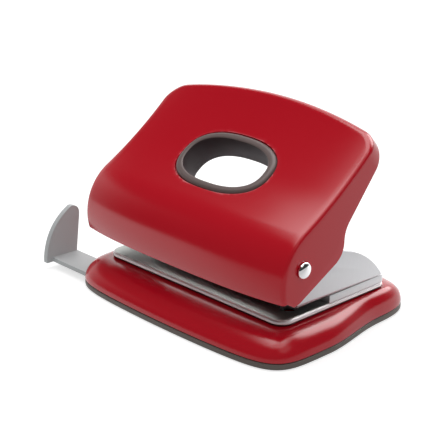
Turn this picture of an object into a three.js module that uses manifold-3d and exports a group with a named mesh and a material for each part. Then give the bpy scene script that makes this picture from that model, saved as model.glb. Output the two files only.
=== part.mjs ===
// A two-hole desk punch: a base with a chip tray, a steel frame that holds two punches, and a hollow
// handle on two pivot pins at its front. Paper goes in at the front, between the die plate and the frame.
// Millimetres: +X to the right, +Y to the back, +Z up. The origin is on the table, under the middle of the base.
import * as THREE from 'three';
import { mergeVertices } from 'three/addons/utils/BufferGeometryUtils.js';
import Module from 'manifold-3d';

const wasm = await Module();
wasm.setup();

// Clearances, and how far a cutter runs past what it cuts.
const gap = 0.3;
const overrun = 4;
const weld = 1e-5;

// How finely round things are made.
const roundSides = 20;
const outlineSides = 52;
const cornerSteps = 4;
const ovalSpreadShare = 5 / 8;

// Punching: two holes, their distance from the paper's edge, and the throat that the paper goes into.
const holePitch = 80;
const punchRadius = 2.75;
const stopDistance = 12.6;
const throatHeight = 3.2;
const punchHide = 0.2;

// Base: the red cover and the tray that closes it from below.
const plateSide = 7.8;
const plateWidth = holePitch + 2 * plateSide;
const baseFlank = 9;
const baseWidth = plateWidth + 2 * baseFlank;
const baseRearStep = 4.5;
const baseRearWidth = baseWidth - 2 * baseRearStep;
const baseDepth = 86.4;
const baseFrontReach = 41;
const baseFrontExponent = 8;
const baseRearExponent = 6;
const baseFrontBow = 2.7;
const baseRearBow = 1.6;
const shoulderStart = 29.5;
const shoulderEnd = 62;
const deckTop = 11.2;
const deckThickness = 1.8;
const coverWall = 2;
const trayFloor = 1.4;
const trayBand = 2.4;
const trayLip = 1.6;
const trayWall = 1;
const trayEdgeRound = 0.8;
const trayRoundShare = 0.25;
const trayLipSetback = 0.5;
const chuteRadius = 4.5;

// Die plate, the paper stop behind the throat, and the sheet that the frame is folded from.
const plateDepth = 56;
const plateThickness = 2.4;
const plateCorner = 5.5;
const plateRearCorner = 3.5;
const plateInset = 14;
const plateExponent = 18;
const seatMargin = 0.4;
const punchSetback = 12;
const sheet = 1.5;
const frameOverhang = 1;
const frameWidth = plateWidth + 2 * frameOverhang;
const frameLead = 4.5;
const cheekRadius = 36.4;
const cheekCentreBack = 17.8;
const cheekCentreDrop = 19.7;
const bossRadius = 6;

// Pivot pins and the washers that keep the handle off the frame.
const pivotAhead = 8;
const pivotRise = 15.9;
const pinRadius = 2;
const pinHeadRadius = 3;
const pinHeadHeight = 1.6;
const pinDomeShares = [[1, 0], [0.93, 0.45], [0.65, 0.85], [0, 1]];
const pinTailRadius = 2.8;
const pinTailHeight = 0.7;
const washerRadius = 4.5;

// Handle shell: a nose round the pivot, then a hollow slope up to a crowned rear edge.
const handleWall = 1.7;
const pivotRoom = 3;
const handleWidth = frameWidth + 2 * (pivotRoom + handleWall);
const noseRadius = 20.6;
const noseBack = 11.1;
const noseDrop = 5.1;
const lipDrop = 5.8;
const slopeStart = THREE.MathUtils.degToRad(29.1);
const slopeEnd = THREE.MathUtils.degToRad(42.7);
const slopeRadius = 187;
const crownReach = 6.8;
const crownExponent = 1.94;
const frontBulge = 2.7;
const bulgeExponent = 2.9;
const faceCrown = 0.5;
const rearCrown = 1;
const rearCrownGrowth = 3;
const faceExponent = 5;
const shellCorner = 9.5;
const shellEdge = 1.5;
const innerEdge = 0.4;
const rearDepth = 6;
const cheekDepth = 8.2;
const toeAhead = 4;
const toeDrop = 12.6;
const heelAhead = 1.4;
const heelDrop = 12;
const heelRadius = 3;
const kneeBack = 20.7;
const kneeRise = -0.3;
const kneeRadius = 8;
const waistBack = 20.9;
const waistRise = 8.7;
const waistRadius = 10;
const bulgeFullShare = 0.27;
const bulgeEndShare = 0.65;
const shellRows = 18;
const shellColumns = 16;

// Finger hole in the handle and the soft rim that lines it.
const rimLength = 45.6;
const rimWidth = 27;
const rimExponent = 2.44;
const rimFace = 3.1;
const rimWall = 1.6;
const rimHeight = 0.45;
const rimDepth = 10;
const rimRecess = 0.75;
const rimRound = 1.2;
const rimRoundShare = 1 / 3;
const holeShare = 0.375;

// Inner lever, the bar with which it presses the punches, and its screws.
const leverSheet = 1.2;
const leverPlay = 0.4;
const leverBossRadius = 5;
const leverBarEye = 3.9;
const leverBridgeFront = 1.6;
const leverBridgeBack = 4.2;
const leverBridgeRise = 8.6;
const leverArmLength = 30;
const leverArmDepth = 9;
const leverEnd = 3;
const barRadius = 2.5;
const pressAngle = THREE.MathUtils.degToRad(31);
const leverScrewSpread = 50;
const screwRadius = 1.5;
const screwHeadRadius = 2.8;
const screwHeadHeight = 1.2;
const screwGrip = 3.4;
const bossWall = 1.4;

// Punches: their groove, clip, spring and guide bush.
const grooveDrop = 1.05;
const grooveHeight = 1.1;
const grooveDepth = 0.65;
const clipRadius = 4.9;
const clipThickness = 0.8;
const tipCut = 1.3;
const tipCutShare = 0.8;
const springDiameter = 9.2;
const springWire = 0.9;
const springCurls = 5;
const curlSteps = 8;
const wireSides = 5;
const bushRadius = 3.8;
const bushFlange = 5.4;
const bushFlangeHeight = 1;
const bushRise = 6.7;

// Rivets that hold frame, stop and die plate on the base.
const rivetRadius = 1.8;
const rivetHeadRadius = 3.2;
const rivetHeadHeight = 1.1;
const rivetDomeShares = [[1, 0], [0.7, 0.8], [0, 1]];
const rivetInset = 8;
const rivetSpread = holePitch - 2 * rivetInset;
const rivetFrontBack = 6;
const rivetRearBack = 23;

// Paper guide: a flat bar that slides out of the base's left end, with an upright fin.
const guideWidth = 12.4;
const guideThickness = 1.8;
const guideHeight = 2.9;
const guideFront = 6.4;
const guideInnerEnd = 18;
const guideReach = 74.2;
const guideCatch = 2;
const guideCatchHeight = 1.5;
const guideCatchShare = 0.25;
const finThickness = 2.3;
const finHeight = 21.7;
const finFrontReach = 3;
const finFootInset = 0.4;
const finLean = 1.8;
const finTipRadius = 4;
const finBend = 1.6;
const finBendShare = 0.72;
const finFootShare = 0.1;
const guideCorner = 2;
const trayNotchPlay = 1;
const channelLength = 36;
const channelStart = 34;
const channelSheet = 1;
const channelLip = 0.7;
const channelLipWidth = 2.5;
const channelFlange = 9;
const channelScrewShares = [0.25, 0.75];

// Heights, worked out from the table up.
const coverBottom = trayBand + gap;
const deckUnder = deckTop - deckThickness;
const plateTop = deckTop + plateThickness;
const webBottom = plateTop + throatHeight;
const webTop = webBottom + sheet;
const guideTop = guideHeight + guideThickness;

// Places from front to back.
const baseFront = -baseFrontReach;
const baseBack = baseFront + baseDepth;
const plateFront = baseFront + plateInset;
const plateBack = plateFront + plateDepth;
const punchY = plateFront + punchSetback;
const stopFront = punchY + stopDistance;
const frameFront = punchY - frameLead;
const pivotY = punchY - pivotAhead;
const pivotZ = webTop + pivotRise;

// Places from the middle outwards.
const cheekOuter = frameWidth / 2;
const cheekInner = cheekOuter - sheet;
const shellInner = handleWidth / 2 - handleWall;
const leverOuter = cheekInner - leverPlay;
const leverInner = leverOuter - leverSheet;
const pinHole = pinRadius + gap;

// The pressing bar swings evenly about the pivot's own height, so that it moves almost straight down.
const barArm = pivotAhead / Math.cos(pressAngle / 4);
const barY = pivotY + barArm * Math.cos(pressAngle / 2);
const barZ = pivotZ + barArm * Math.sin(pressAngle / 2);
const punchStroke = 2 * barArm * Math.sin(pressAngle / 2);
const punchTop = barZ - barRadius - gap;
const punchTip = webBottom + punchHide;
const grooveTop = punchTop - grooveDrop;
const clipTop = grooveTop - (grooveHeight - clipThickness) / 2;
const springBottom = webTop + bushFlangeHeight + gap;
const springTop = clipTop - clipThickness - gap;

// Finishes.
const finish = (color, roughness, metalness) => new THREE.MeshStandardMaterial({ color, roughness, metalness });
const redPaint = () => finish(0xa80d1e, 0.35, 0.1);
const softBrown = () => finish(0x6f605b, 0.7, 0);
const zinc = () => finish(0xc8c8cb, 0.4, 0.9);
const polishedSteel = () => finish(0xd8d6d4, 0.2, 1);
const darkSteel = () => finish(0x8a8c8e, 0.4, 0.9);
const chrome = () => finish(0xeeeeee, 0.1, 1);
const greyPlastic = () => finish(0xb4b6ba, 0.5, 0);
const nylon = () => finish(0xe6e4dc, 0.6, 0);

// A closed geometry as a solid that can be joined and cut.
function toSolid(geometry) {
  const bare = geometry.clone();
  bare.deleteAttribute('normal');
  bare.deleteAttribute('uv');
  const merged = mergeVertices(bare, weld);
  const corners = merged.index.array;
  const kept = [];
  for (let i = 0; i < corners.length; i += 3) {
    const [a, b, c] = [corners[i], corners[i + 1], corners[i + 2]];
    if (a !== b && b !== c && c !== a) kept.push(a, b, c);
  }
  return new wasm.Manifold(new wasm.Mesh({
    numProp: 3,
    vertProperties: new Float32Array(merged.attributes.position.array),
    triVerts: new Uint32Array(kept),
  }));
}

// A solid back as a geometry.
function toGeometry(solid) {
  const mesh = solid.getMesh();
  const geometry = new THREE.BufferGeometry();
  const points = [];
  for (let i = 0; i < mesh.vertProperties.length; i += mesh.numProp) {
    points.push(mesh.vertProperties[i], mesh.vertProperties[i + 1], mesh.vertProperties[i + 2]);
  }
  geometry.setAttribute('position', new THREE.Float32BufferAttribute(points, 3));
  geometry.setIndex(Array.from(mesh.triVerts));
  geometry.computeVertexNormals();
  return geometry;
}

// A geometry from points and quads, its faces turned outwards.
function fromFaces(points, faces) {
  let volume = 0;
  for (const [a, b, c] of faces) {
    volume += points[a].dot(new THREE.Vector3().crossVectors(points[b], points[c]));
  }
  const index = faces.flatMap(([a, b, c]) => (volume > 0 ? [a, b, c] : [a, c, b]));
  const geometry = new THREE.BufferGeometry().setFromPoints(points);
  geometry.setIndex(index);
  return geometry;
}

const quad = (faces, a, b, c, d) => faces.push([a, b, c], [a, c, d]);

// A flat outline in X and Y, raised from one height to another.
function plate(outline, bottom, top) {
  const geometry = new THREE.ExtrudeGeometry(new THREE.Shape(outline), { depth: top - bottom, bevelEnabled: false });
  return toSolid(geometry.translate(0, 0, bottom));
}

// An outline in Y and Z, drawn out along X.
function profileSolid(outline, from, to) {
  const geometry = new THREE.ExtrudeGeometry(new THREE.Shape(outline), { depth: to - from, bevelEnabled: false });
  const turn = new THREE.Matrix4().makeBasis(
    new THREE.Vector3(0, 1, 0), new THREE.Vector3(0, 0, 1), new THREE.Vector3(1, 0, 0));
  return toSolid(geometry.applyMatrix4(turn).translate(from, 0, 0));
}

// A block between two corners.
function block(low, high) {
  const geometry = new THREE.BoxGeometry(high[0] - low[0], high[1] - low[1], high[2] - low[2]);
  return toSolid(geometry.translate((low[0] + high[0]) / 2, (low[1] + high[1]) / 2, (low[2] + high[2]) / 2));
}

// A turned piece: radius and height pairs that start and end on the axis, turned about Z.
function turned(profile, sides = roundSides) {
  const geometry = new THREE.LatheGeometry(profile.map(([r, h]) => new THREE.Vector2(r, h)), sides);
  return toSolid(geometry.rotateX(Math.PI / 2));
}

const rod = (radius, bottom, top, sides = roundSides) => turned([[0, bottom], [radius, bottom], [radius, top], [0, top]], sides);

// The same, with its axis along X.
const alongX = (solid) => solid.rotate([0, 90, 0]);
const rodX = (radius, from, to, sides = roundSides) => alongX(rod(radius, from, to, sides));

// Points of an outline whose listed corners are rounded.
function rounded(corners, radii, closed = false) {
  const points = [];
  corners.forEach((corner, i) => {
    const radius = radii[i];
    const open = !closed && (i === 0 || i === corners.length - 1);
    if (!radius || open) {
      points.push(corner.clone());
      return;
    }
    const before = corners[(i + corners.length - 1) % corners.length].clone().sub(corner).normalize();
    const after = corners[(i + 1) % corners.length].clone().sub(corner).normalize();
    const half = Math.acos(THREE.MathUtils.clamp(before.dot(after), -1, 1)) / 2;
    const middle = before.clone().add(after).normalize();
    const centre = corner.clone().addScaledVector(middle, radius / Math.sin(half));
    const start = corner.clone().addScaledVector(before, radius / Math.tan(half)).sub(centre);
    const end = corner.clone().addScaledVector(after, radius / Math.tan(half)).sub(centre);
    const from = Math.atan2(start.y, start.x);
    let sweep = Math.atan2(end.y, end.x) - from;
    if (sweep > Math.PI) sweep -= 2 * Math.PI;
    if (sweep < -Math.PI) sweep += 2 * Math.PI;
    for (let k = 0; k <= cornerSteps; k += 1) {
      const angle = from + sweep * k / cornerSteps;
      points.push(new THREE.Vector2(centre.x + radius * Math.cos(angle), centre.y + radius * Math.sin(angle)));
    }
  });
  return points;
}

const at = (x, y) => new THREE.Vector2(x, y);

// A rectangle in X and Y with its own radius at each corner, from the front left one on.
function roundedRectangle(left, right, front, back, radii) {
  return rounded([at(left, front), at(right, front), at(right, back), at(left, back)], radii, true);
}

// The point that lies a given share along a line of points.
function along(points, share) {
  const lengths = points.slice(1).map((point, i) => point.distanceTo(points[i]));
  const total = lengths.reduce((sum, length) => sum + length, 0);
  let left = THREE.MathUtils.clamp(share, 0, 1) * total;
  let i = 0;
  while (i < lengths.length - 1 && left > lengths[i]) {
    left -= lengths[i];
    i += 1;
  }
  return points[i].clone().lerp(points[i + 1], Math.min(left / lengths[i], 1));
}

const sample = (points, steps) => Array.from({ length: steps + 1 }, (_, i) => along(points, i / steps));

// Points of an arc in two dimensions.
function arc(centre, radius, from, to, steps = roundSides / 2) {
  return Array.from({ length: steps + 1 }, (_, i) => {
    const angle = from + (to - from) * i / steps;
    return at(centre.x + radius * Math.cos(angle), centre.y + radius * Math.sin(angle));
  });
}

// The angle of the normal that a straight line shares with two circles which it touches on the same side.
function tangentAngle(centreA, radiusA, centreB, radiusB, side) {
  const between = centreB.clone().sub(centreA);
  return Math.atan2(between.y, between.x) + side * Math.acos((radiusA - radiusB) / between.length());
}

// A squared-off oval, its points on rays that spread evenly round a softer oval. Its rear can be squarer or rounder.
function oval(halfX, front, back, exponent, sides = outlineSides, rearExponent = exponent) {
  const halfY = (back - front) / 2;
  return Array.from({ length: sides }, (_, i) => {
    const turn = 2 * Math.PI * (i + 0.5) / sides;
    const c = Math.sign(Math.cos(turn)) * Math.abs(Math.cos(turn)) ** ovalSpreadShare;
    const s = Math.sign(Math.sin(turn)) * Math.abs(Math.sin(turn)) ** ovalSpreadShare;
    const power = s < 0 ? exponent : rearExponent;
    const reach = (Math.abs(c) ** power + Math.abs(s) ** power) ** (-1 / power);
    return at(c * reach * halfX, (front + back) / 2 + s * reach * halfY);
  });
}

// A closed solid through a stack of outlines that have the same number of points.
function loft(rings) {
  const points = rings.flatMap(({ outline, z }) => outline.map((p) => new THREE.Vector3(p.x, p.y, z)));
  const count = rings[0].outline.length;
  const faces = [];
  for (let r = 0; r < rings.length - 1; r += 1) {
    for (let i = 0; i < count; i += 1) {
      const j = (i + 1) % count;
      quad(faces, r * count + i, r * count + j, (r + 1) * count + j, (r + 1) * count + i);
    }
  }
  const last = (rings.length - 1) * count;
  const middle = (start) => points.slice(start, start + count)
    .reduce((sum, p) => sum.add(p), new THREE.Vector3()).divideScalar(count);
  points.push(middle(0), middle(last));
  for (let i = 0; i < count; i += 1) {
    const j = (i + 1) % count;
    faces.push([points.length - 2, j, i], [points.length - 1, last + i, last + j]);
  }
  return toSolid(fromFaces(points, faces));
}

const model = new THREE.Group();
function add(name, solid, material) {
  const mesh = new THREE.Mesh(toGeometry(solid), material);
  mesh.name = name;
  model.add(mesh);
}
const leftAndRight = [['left', -1], ['right', 1]];

// Base cover: a pillow-shaped shell that falls in a quarter oval from the die plate's edge to the tray.
const coverSteps = 6;
function baseOutline(inset) {
  const half = baseWidth / 2 - inset;
  const front = baseFront + baseFrontBow + inset;
  const back = baseBack - baseRearBow - inset;
  const outline = oval(half, front, back, baseFrontExponent, outlineSides, baseRearExponent);
  return outline.map((p) => {
    const shoulder = THREE.MathUtils.smoothstep(p.y, baseFront + shoulderStart, baseFront + shoulderEnd);
    const width = THREE.MathUtils.lerp(1, baseRearWidth / baseWidth, shoulder);
    const bow = (p.y < 0 ? -baseFrontBow : baseRearBow) * (1 - (p.x / half) ** 2);
    return at(p.x * width, p.y + bow);
  });
}
const plateOutline = (margin) => oval(
  plateWidth / 2 + margin, plateFront - margin, plateBack + margin, plateExponent);
function pillow(inset, bottom, top) {
  const lower = baseOutline(inset);
  const upper = plateOutline(seatMargin - inset);
  const rings = Array.from({ length: coverSteps + 1 }, (_, k) => {
    const fall = Math.PI / 2 * (1 - k / coverSteps);
    const outline = lower.map((p, i) => upper[i].clone().lerp(p, Math.sin(fall)));
    return { outline, z: bottom + (top - bottom) * Math.cos(fall) };
  });
  return rings;
}
function lowered(rings, depth) {
  return [{ outline: rings[0].outline, z: rings[0].z - depth }, ...rings];
}
const guideY = baseFront + guideFront;
const guideBack = guideY + guideWidth;
const rivetPlaces = [];
for (const [side, sign] of leftAndRight) {
  rivetPlaces.push([`front_${side}`, sign * rivetSpread / 2, stopFront + rivetFrontBack]);
  rivetPlaces.push([`rear_${side}`, sign * rivetSpread / 2, stopFront + rivetRearBack]);
}
const upright = (radius, x, y) => rod(radius, -overrun, webTop + overrun).translate([x, y, 0]);
const rivetHoles = rivetPlaces.map(([, x, y]) => upright(rivetRadius + gap, x, y));
const pierced = (solid, cutters) => cutters.reduce((left, cutter) => left.subtract(cutter), solid);
const punchHoles = (radius) => leftAndRight.map(([, sign]) => upright(radius, sign * holePitch / 2, punchY));

const channelFrontY = guideY - gap - channelSheet;
const channelBackY = guideBack + gap + channelSheet;
const channelScrewY = channelBackY + channelFlange / 2;
const channelScrewX = channelScrewShares.map((share) => -channelStart + channelLength * share);
const guideSlot = (play) => block(
  [-baseWidth / 2 - overrun, guideY - play, guideHeight - gap],
  [-channelStart - play, guideBack + play, guideTop + gap]);
{
  const outer = loft(pillow(0, coverBottom, deckTop));
  const hollow = loft(lowered(pillow(coverWall, coverBottom, deckUnder), overrun));
  const screwHoles = channelScrewX.map((x) => rod(screwRadius + gap, 0, deckTop + overrun).translate([x, channelScrewY, 0]));
  const cutters = [hollow, guideSlot(gap), ...punchHoles(chuteRadius), ...rivetHoles, ...screwHoles];
  add('base_cover', pierced(outer, cutters), redPaint());
}

// Chip tray: the soft bottom, which the punch stands on and which swings down at the rear edge to be emptied.
{
  const lipTop = trayBand + trayLip;
  const lipInset = coverWall + trayLipSetback;
  const band = loft([
    { outline: baseOutline(trayEdgeRound), z: 0 },
    { outline: baseOutline(trayEdgeRound * trayRoundShare), z: trayEdgeRound },
    { outline: baseOutline(0), z: trayBand },
  ]);
  const lip = loft([
    { outline: baseOutline(lipInset), z: trayFloor / 2 },
    { outline: baseOutline(lipInset), z: lipTop },
  ]);
  const hollow = loft([
    { outline: baseOutline(lipInset + trayWall), z: trayFloor },
    { outline: baseOutline(lipInset + trayWall), z: lipTop + overrun },
  ]);
  add('chip_tray', band.add(lip).subtract(hollow).subtract(guideSlot(trayNotchPlay)), softBrown());
}

// Die plate: polished steel, with the two dies that the punches enter.
const plateCorners = [plateCorner, plateCorner, plateRearCorner, plateRearCorner];
{
  const outline = roundedRectangle(-plateWidth / 2, plateWidth / 2, plateFront, plateBack, plateCorners);
  const cutters = [...punchHoles(punchRadius + gap), ...rivetHoles];
  add('die_plate', pierced(plate(outline, deckTop, plateTop), cutters), polishedSteel());
}

// Paper stop: the spacer behind the throat, against which the paper's edge comes to rest.
{
  const corners = [0, 0, plateRearCorner, plateRearCorner];
  const outline = roundedRectangle(-plateWidth / 2, plateWidth / 2, stopFront, plateBack, corners);
  add('paper_stop', pierced(plate(outline, plateTop, webBottom), rivetHoles), zinc());
}

// Frame: one folded sheet, its web over the throat and a cheek at each end that carries a pivot pin.
{
  const pivot = at(pivotY, pivotZ);
  const hub = at(pivotY + cheekCentreBack, webBottom - cheekCentreDrop);
  const foot = at(frameFront, webBottom);
  const frontAngle = tangentAngle(foot, 0, pivot, bossRadius, 1);
  const topAngle = tangentAngle(pivot, bossRadius, hub, cheekRadius, 1);
  const rearAngle = Math.asin(cheekCentreDrop / cheekRadius);
  const outline = [
    foot,
    ...arc(hub, cheekRadius, rearAngle, topAngle),
    ...arc(pivot, bossRadius, topAngle, frontAngle),
  ];
  const rear = hub.x + cheekRadius * Math.cos(rearAngle);
  const pivotHole = rodX(pinHole, -handleWidth, handleWidth).translate([0, pivotY, pivotZ]);
  const cheeks = leftAndRight.map(([, sign]) => {
    const ends = [sign * cheekInner, sign * cheekOuter].sort((a, b) => a - b);
    return profileSolid(outline, ends[0], ends[1]);
  });
  const web = block([-cheekInner - sheet / 2, frameFront, webBottom], [cheekInner + sheet / 2, rear, webTop]);
  const folded = web.add(cheeks[0]).add(cheeks[1]);
  add('frame', pierced(folded, [pivotHole, ...punchHoles(bushRadius + gap), ...rivetHoles]), zinc());
}

// Rivets: each goes through web, stop, die plate and deck, with a low domed head on top.
for (const [place, x, y] of rivetPlaces) {
  const body = turned([
    [0, deckUnder - rivetHeadHeight],
    [rivetHeadRadius, deckUnder - rivetHeadHeight],
    [rivetHeadRadius, deckUnder],
    [rivetRadius, deckUnder],
    [rivetRadius, webTop],
    ...rivetDomeShares.map(([out, up]) => [rivetHeadRadius * out, webTop + rivetHeadHeight * up]),
  ]);
  add(`frame_rivet_${place}`, body.translate([x, y, 0]), polishedSteel());
}

// Guide bushes, punches, clips and return springs, the same on both sides.
function punchBody() {
  const core = punchRadius - grooveDepth;
  const body = turned([
    [0, punchTip],
    [punchRadius, punchTip],
    [punchRadius, grooveTop - grooveHeight],
    [core, grooveTop - grooveHeight],
    [core, grooveTop],
    [punchRadius, grooveTop],
    [punchRadius, punchTop],
    [0, punchTop],
  ]);
  const notch = profileSolid([
    at(-punchRadius * tipCutShare, punchTip - tipCut / 2),
    at(punchRadius * tipCutShare, punchTip - tipCut / 2),
    at(0, punchTip + tipCut),
  ], -punchRadius - overrun, punchRadius + overrun);
  return body.subtract(notch);
}
function springTube() {
  const radius = springDiameter / 2;
  const low = springBottom + springWire / 2;
  const rise = springTop - springWire / 2 - low;
  const steps = springCurls * curlSteps;
  const line = [];
  for (let i = 0; i <= steps; i += 1) {
    const angle = 2 * Math.PI * i / curlSteps;
    line.push(new THREE.Vector3(radius * Math.cos(angle), radius * Math.sin(angle), low + rise * i / steps));
  }
  line.unshift(line[0].clone().add(new THREE.Vector3(0, -springWire, 0)));
  line.push(line[line.length - 1].clone().add(new THREE.Vector3(0, springWire, 0)));
  let least = Infinity;
  line.forEach((p, i) => line.forEach((q, j) => {
    if (Math.abs(i - j) > curlSteps / 2) least = Math.min(least, p.distanceTo(q) - springWire);
  }));
  const points = [];
  line.forEach((p, i) => {
    const ahead = line[Math.min(i + 1, line.length - 1)].clone().sub(line[Math.max(i - 1, 0)]).normalize();
    const out = new THREE.Vector3(p.x, p.y, 0).normalize();
    if (i === 0 || i === line.length - 1) out.set(1, 0, 0);
    const up = new THREE.Vector3().crossVectors(ahead, out).normalize();
    out.crossVectors(up, ahead);
    for (let k = 0; k < wireSides; k += 1) {
      const angle = 2 * Math.PI * k / wireSides;
      points.push(p.clone()
        .addScaledVector(out, springWire / 2 * Math.cos(angle))
        .addScaledVector(up, springWire / 2 * Math.sin(angle)));
    }
  });
  const faces = [];
  for (let i = 0; i < line.length - 1; i += 1) {
    for (let k = 0; k < wireSides; k += 1) {
      const n = (k + 1) % wireSides;
      quad(faces, i * wireSides + k, i * wireSides + n, (i + 1) * wireSides + n, (i + 1) * wireSides + k);
    }
  }
  const last = (line.length - 1) * wireSides;
  for (let k = 1; k < wireSides - 1; k += 1) {
    faces.push([0, k + 1, k], [last, last + k, last + k + 1]);
  }
  return { solid: toSolid(fromFaces(points, faces)), least };
}
const spring = springTube();
console.log(`punch travel ${punchStroke.toFixed(2)} mm; spring: least gap to itself ${spring.least.toFixed(2)} mm`);
for (const [side, sign] of leftAndRight) {
  const place = [sign * holePitch / 2, punchY, 0];
  const bush = turned([
    [0, webBottom],
    [bushRadius, webBottom],
    [bushRadius, webTop],
    [bushFlange, webTop],
    [bushFlange, webTop + bushFlangeHeight],
    [bushRadius, webTop + bushFlangeHeight],
    [bushRadius, webBottom + bushRise],
    [0, webBottom + bushRise],
  ]).subtract(rod(punchRadius + gap, 0, punchTop));
  const clip = rod(clipRadius, clipTop - clipThickness, clipTop)
    .subtract(rod(punchRadius - grooveDepth + gap / 2, 0, punchTop + overrun))
    .subtract(block([0, -punchRadius + grooveDepth, 0], [clipRadius + overrun, punchRadius - grooveDepth, punchTop]));
  add(`punch_${side}`, punchBody().translate(place), polishedSteel());
  add(`punch_guide_${side}`, bush.translate(place), darkSteel());
  add(`spring_clip_${side}`, clip.translate(place), darkSteel());
  add(`punch_spring_${side}`, spring.solid.translate(place), polishedSteel());
}

// Handle outline: arc lengths along the profile, from the lip up to the rear edge before its crown.
const noseCentre = at(pivotY + noseBack, pivotZ - noseDrop);
const lipAngle = Math.PI + Math.asin(lipDrop / noseRadius);
const noseEnd = Math.PI / 2 + slopeStart;
const noseLength = noseRadius * (lipAngle - noseEnd);
const slopeLength = slopeRadius * (slopeEnd - slopeStart);
const profileLength = noseLength + slopeLength;
const slopeCentre = at(
  noseCentre.x + (noseRadius + slopeRadius) * Math.cos(noseEnd),
  noseCentre.y + (noseRadius + slopeRadius) * Math.sin(noseEnd));

// The profile's point at an arc length, sunk by a depth, and its outward normal.
function profileAt(length, depth) {
  if (length <= noseLength) {
    const angle = lipAngle - length / noseRadius;
    const normal = at(Math.cos(angle), Math.sin(angle));
    return { point: noseCentre.clone().addScaledVector(normal, noseRadius - depth), normal };
  }
  const angle = noseEnd + (length - noseLength) / slopeRadius;
  const normal = at(Math.cos(angle), Math.sin(angle));
  return { point: slopeCentre.clone().addScaledVector(normal, -slopeRadius - depth), normal };
}

// The shell in space: across, along the profile and into the wall.
function shellPoint(x, length, depth) {
  const { point, normal } = profileAt(length, depth);
  const across = Math.min(Math.abs(x) / (handleWidth / 2), 1);
  const share = THREE.MathUtils.smoothstep(length / profileLength, bulgeFullShare, bulgeEndShare);
  const forward = frontBulge * (1 - across ** bulgeExponent) * (1 - share);
  const middleCrown = faceCrown + rearCrown * (length / profileLength) ** rearCrownGrowth;
  const crown = middleCrown * (1 - across ** faceExponent);
  return new THREE.Vector3(x, point.x - forward + normal.x * crown, point.y + normal.y * crown);
}

const crownAt = (x, inset) => profileLength - inset + crownReach * (1 - (Math.abs(x) / (handleWidth / 2)) ** crownExponent);

// Half of the handle's edge in the unrolled face: up the side, round the corner and in to the middle.
function halfEdge(inset) {
  const half = handleWidth / 2 - inset;
  const bend = half - shellCorner + inset;
  const fall = (crownAt(bend, inset) - crownAt(bend + gap, inset)) / gap;
  const corner = at(half, crownAt(bend, inset) - fall * (half - bend));
  const crown = Array.from({ length: shellColumns }, (_, i) => {
    const x = bend * (1 - (i + 1) / shellColumns);
    return at(x, crownAt(x, inset));
  });
  const turn = rounded([at(half, 0), corner, at(bend, crownAt(bend, inset))], [0, shellCorner - inset, 0]);
  const middle = Math.ceil(cornerSteps / 2) + 1;
  return {
    side: turn.slice(0, middle + 1),
    rear: [...turn.slice(middle), ...crown],
    cornerStart: turn[1].y,
  };
}

// One skin of the shell: its face as a grid, and rings of points from the face's edge down the wall.
function shellSkin(sunk, round) {
  const rows = shellRows;
  const columns = shellColumns;
  const flat = halfEdge(sunk + round);
  const side = sample(flat.side, rows);
  const mirror = (p) => at(-p.x, p.y);
  const rearLine = [...flat.rear.map(mirror), ...flat.rear.slice(0, -1).reverse()];
  const rear = sample(rearLine, columns);
  const face = [];
  for (let j = 0; j <= rows; j += 1) {
    for (let i = 0; i <= columns; i += 1) {
      const u = i / columns;
      const v = side[j].y / side[rows].y;
      const front = at(side[0].x * (2 * u - 1), 0);
      const x = (1 - v) * front.x + v * rear[i].x + (2 * u - 1) * side[j].x
        - (1 - v) * (2 * u - 1) * side[0].x - v * (2 * u - 1) * side[rows].x;
      const y = v * rear[i].y + side[j].y - v * side[rows].y;
      face.push(shellPoint(x, y, sunk));
    }
  }
  const edgePath = (inset) => {
    const half = halfEdge(inset);
    const sides = sample(half.side, rows);
    const rears = sample([...half.rear.map(mirror), ...half.rear.slice(0, -1).reverse()], columns);
    return [...sides.map(mirror), ...rears.slice(1, -1), ...sides.slice().reverse()];
  };
  const bevel = round * (1 - Math.SQRT1_2);
  const rings = [
    edgePath(sunk + bevel).map((p) => shellPoint(p.x, p.y, sunk + bevel)),
    edgePath(sunk).map((p) => shellPoint(p.x, p.y, sunk + round)),
  ];
  const { cornerStart } = halfEdge(sunk);
  const lower = cheekEdge(sunk);
  rings.push(edgePath(sunk).map((p) => {
    if (p.y <= cornerStart) {
      const q = along(lower, p.y / cornerStart);
      return new THREE.Vector3(p.x, q.x, q.y);
    }
    const share = Math.min((p.y - cornerStart) / (profileLength - cornerStart), 1);
    return shellPoint(p.x, p.y, THREE.MathUtils.lerp(cheekDepth, rearDepth, share));
  }));
  return { face, rings };
}

// The lower and rear edge of a cheek, from its toe ahead of the pivot up to the rear corner.
function cheekEdge(sunk) {
  const { cornerStart } = halfEdge(sunk);
  const top = profileAt(cornerStart, cheekDepth).point;
  const toe = at(pivotY - toeAhead, pivotZ - toeDrop);
  const heel = at(pivotY - heelAhead, pivotZ - heelDrop);
  const knee = at(pivotY + kneeBack, pivotZ + kneeRise);
  const waist = at(pivotY + waistBack, pivotZ + waistRise);
  return rounded([toe, heel, knee, waist, top], [0, heelRadius, kneeRadius, waistRadius, 0]);
}

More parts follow.
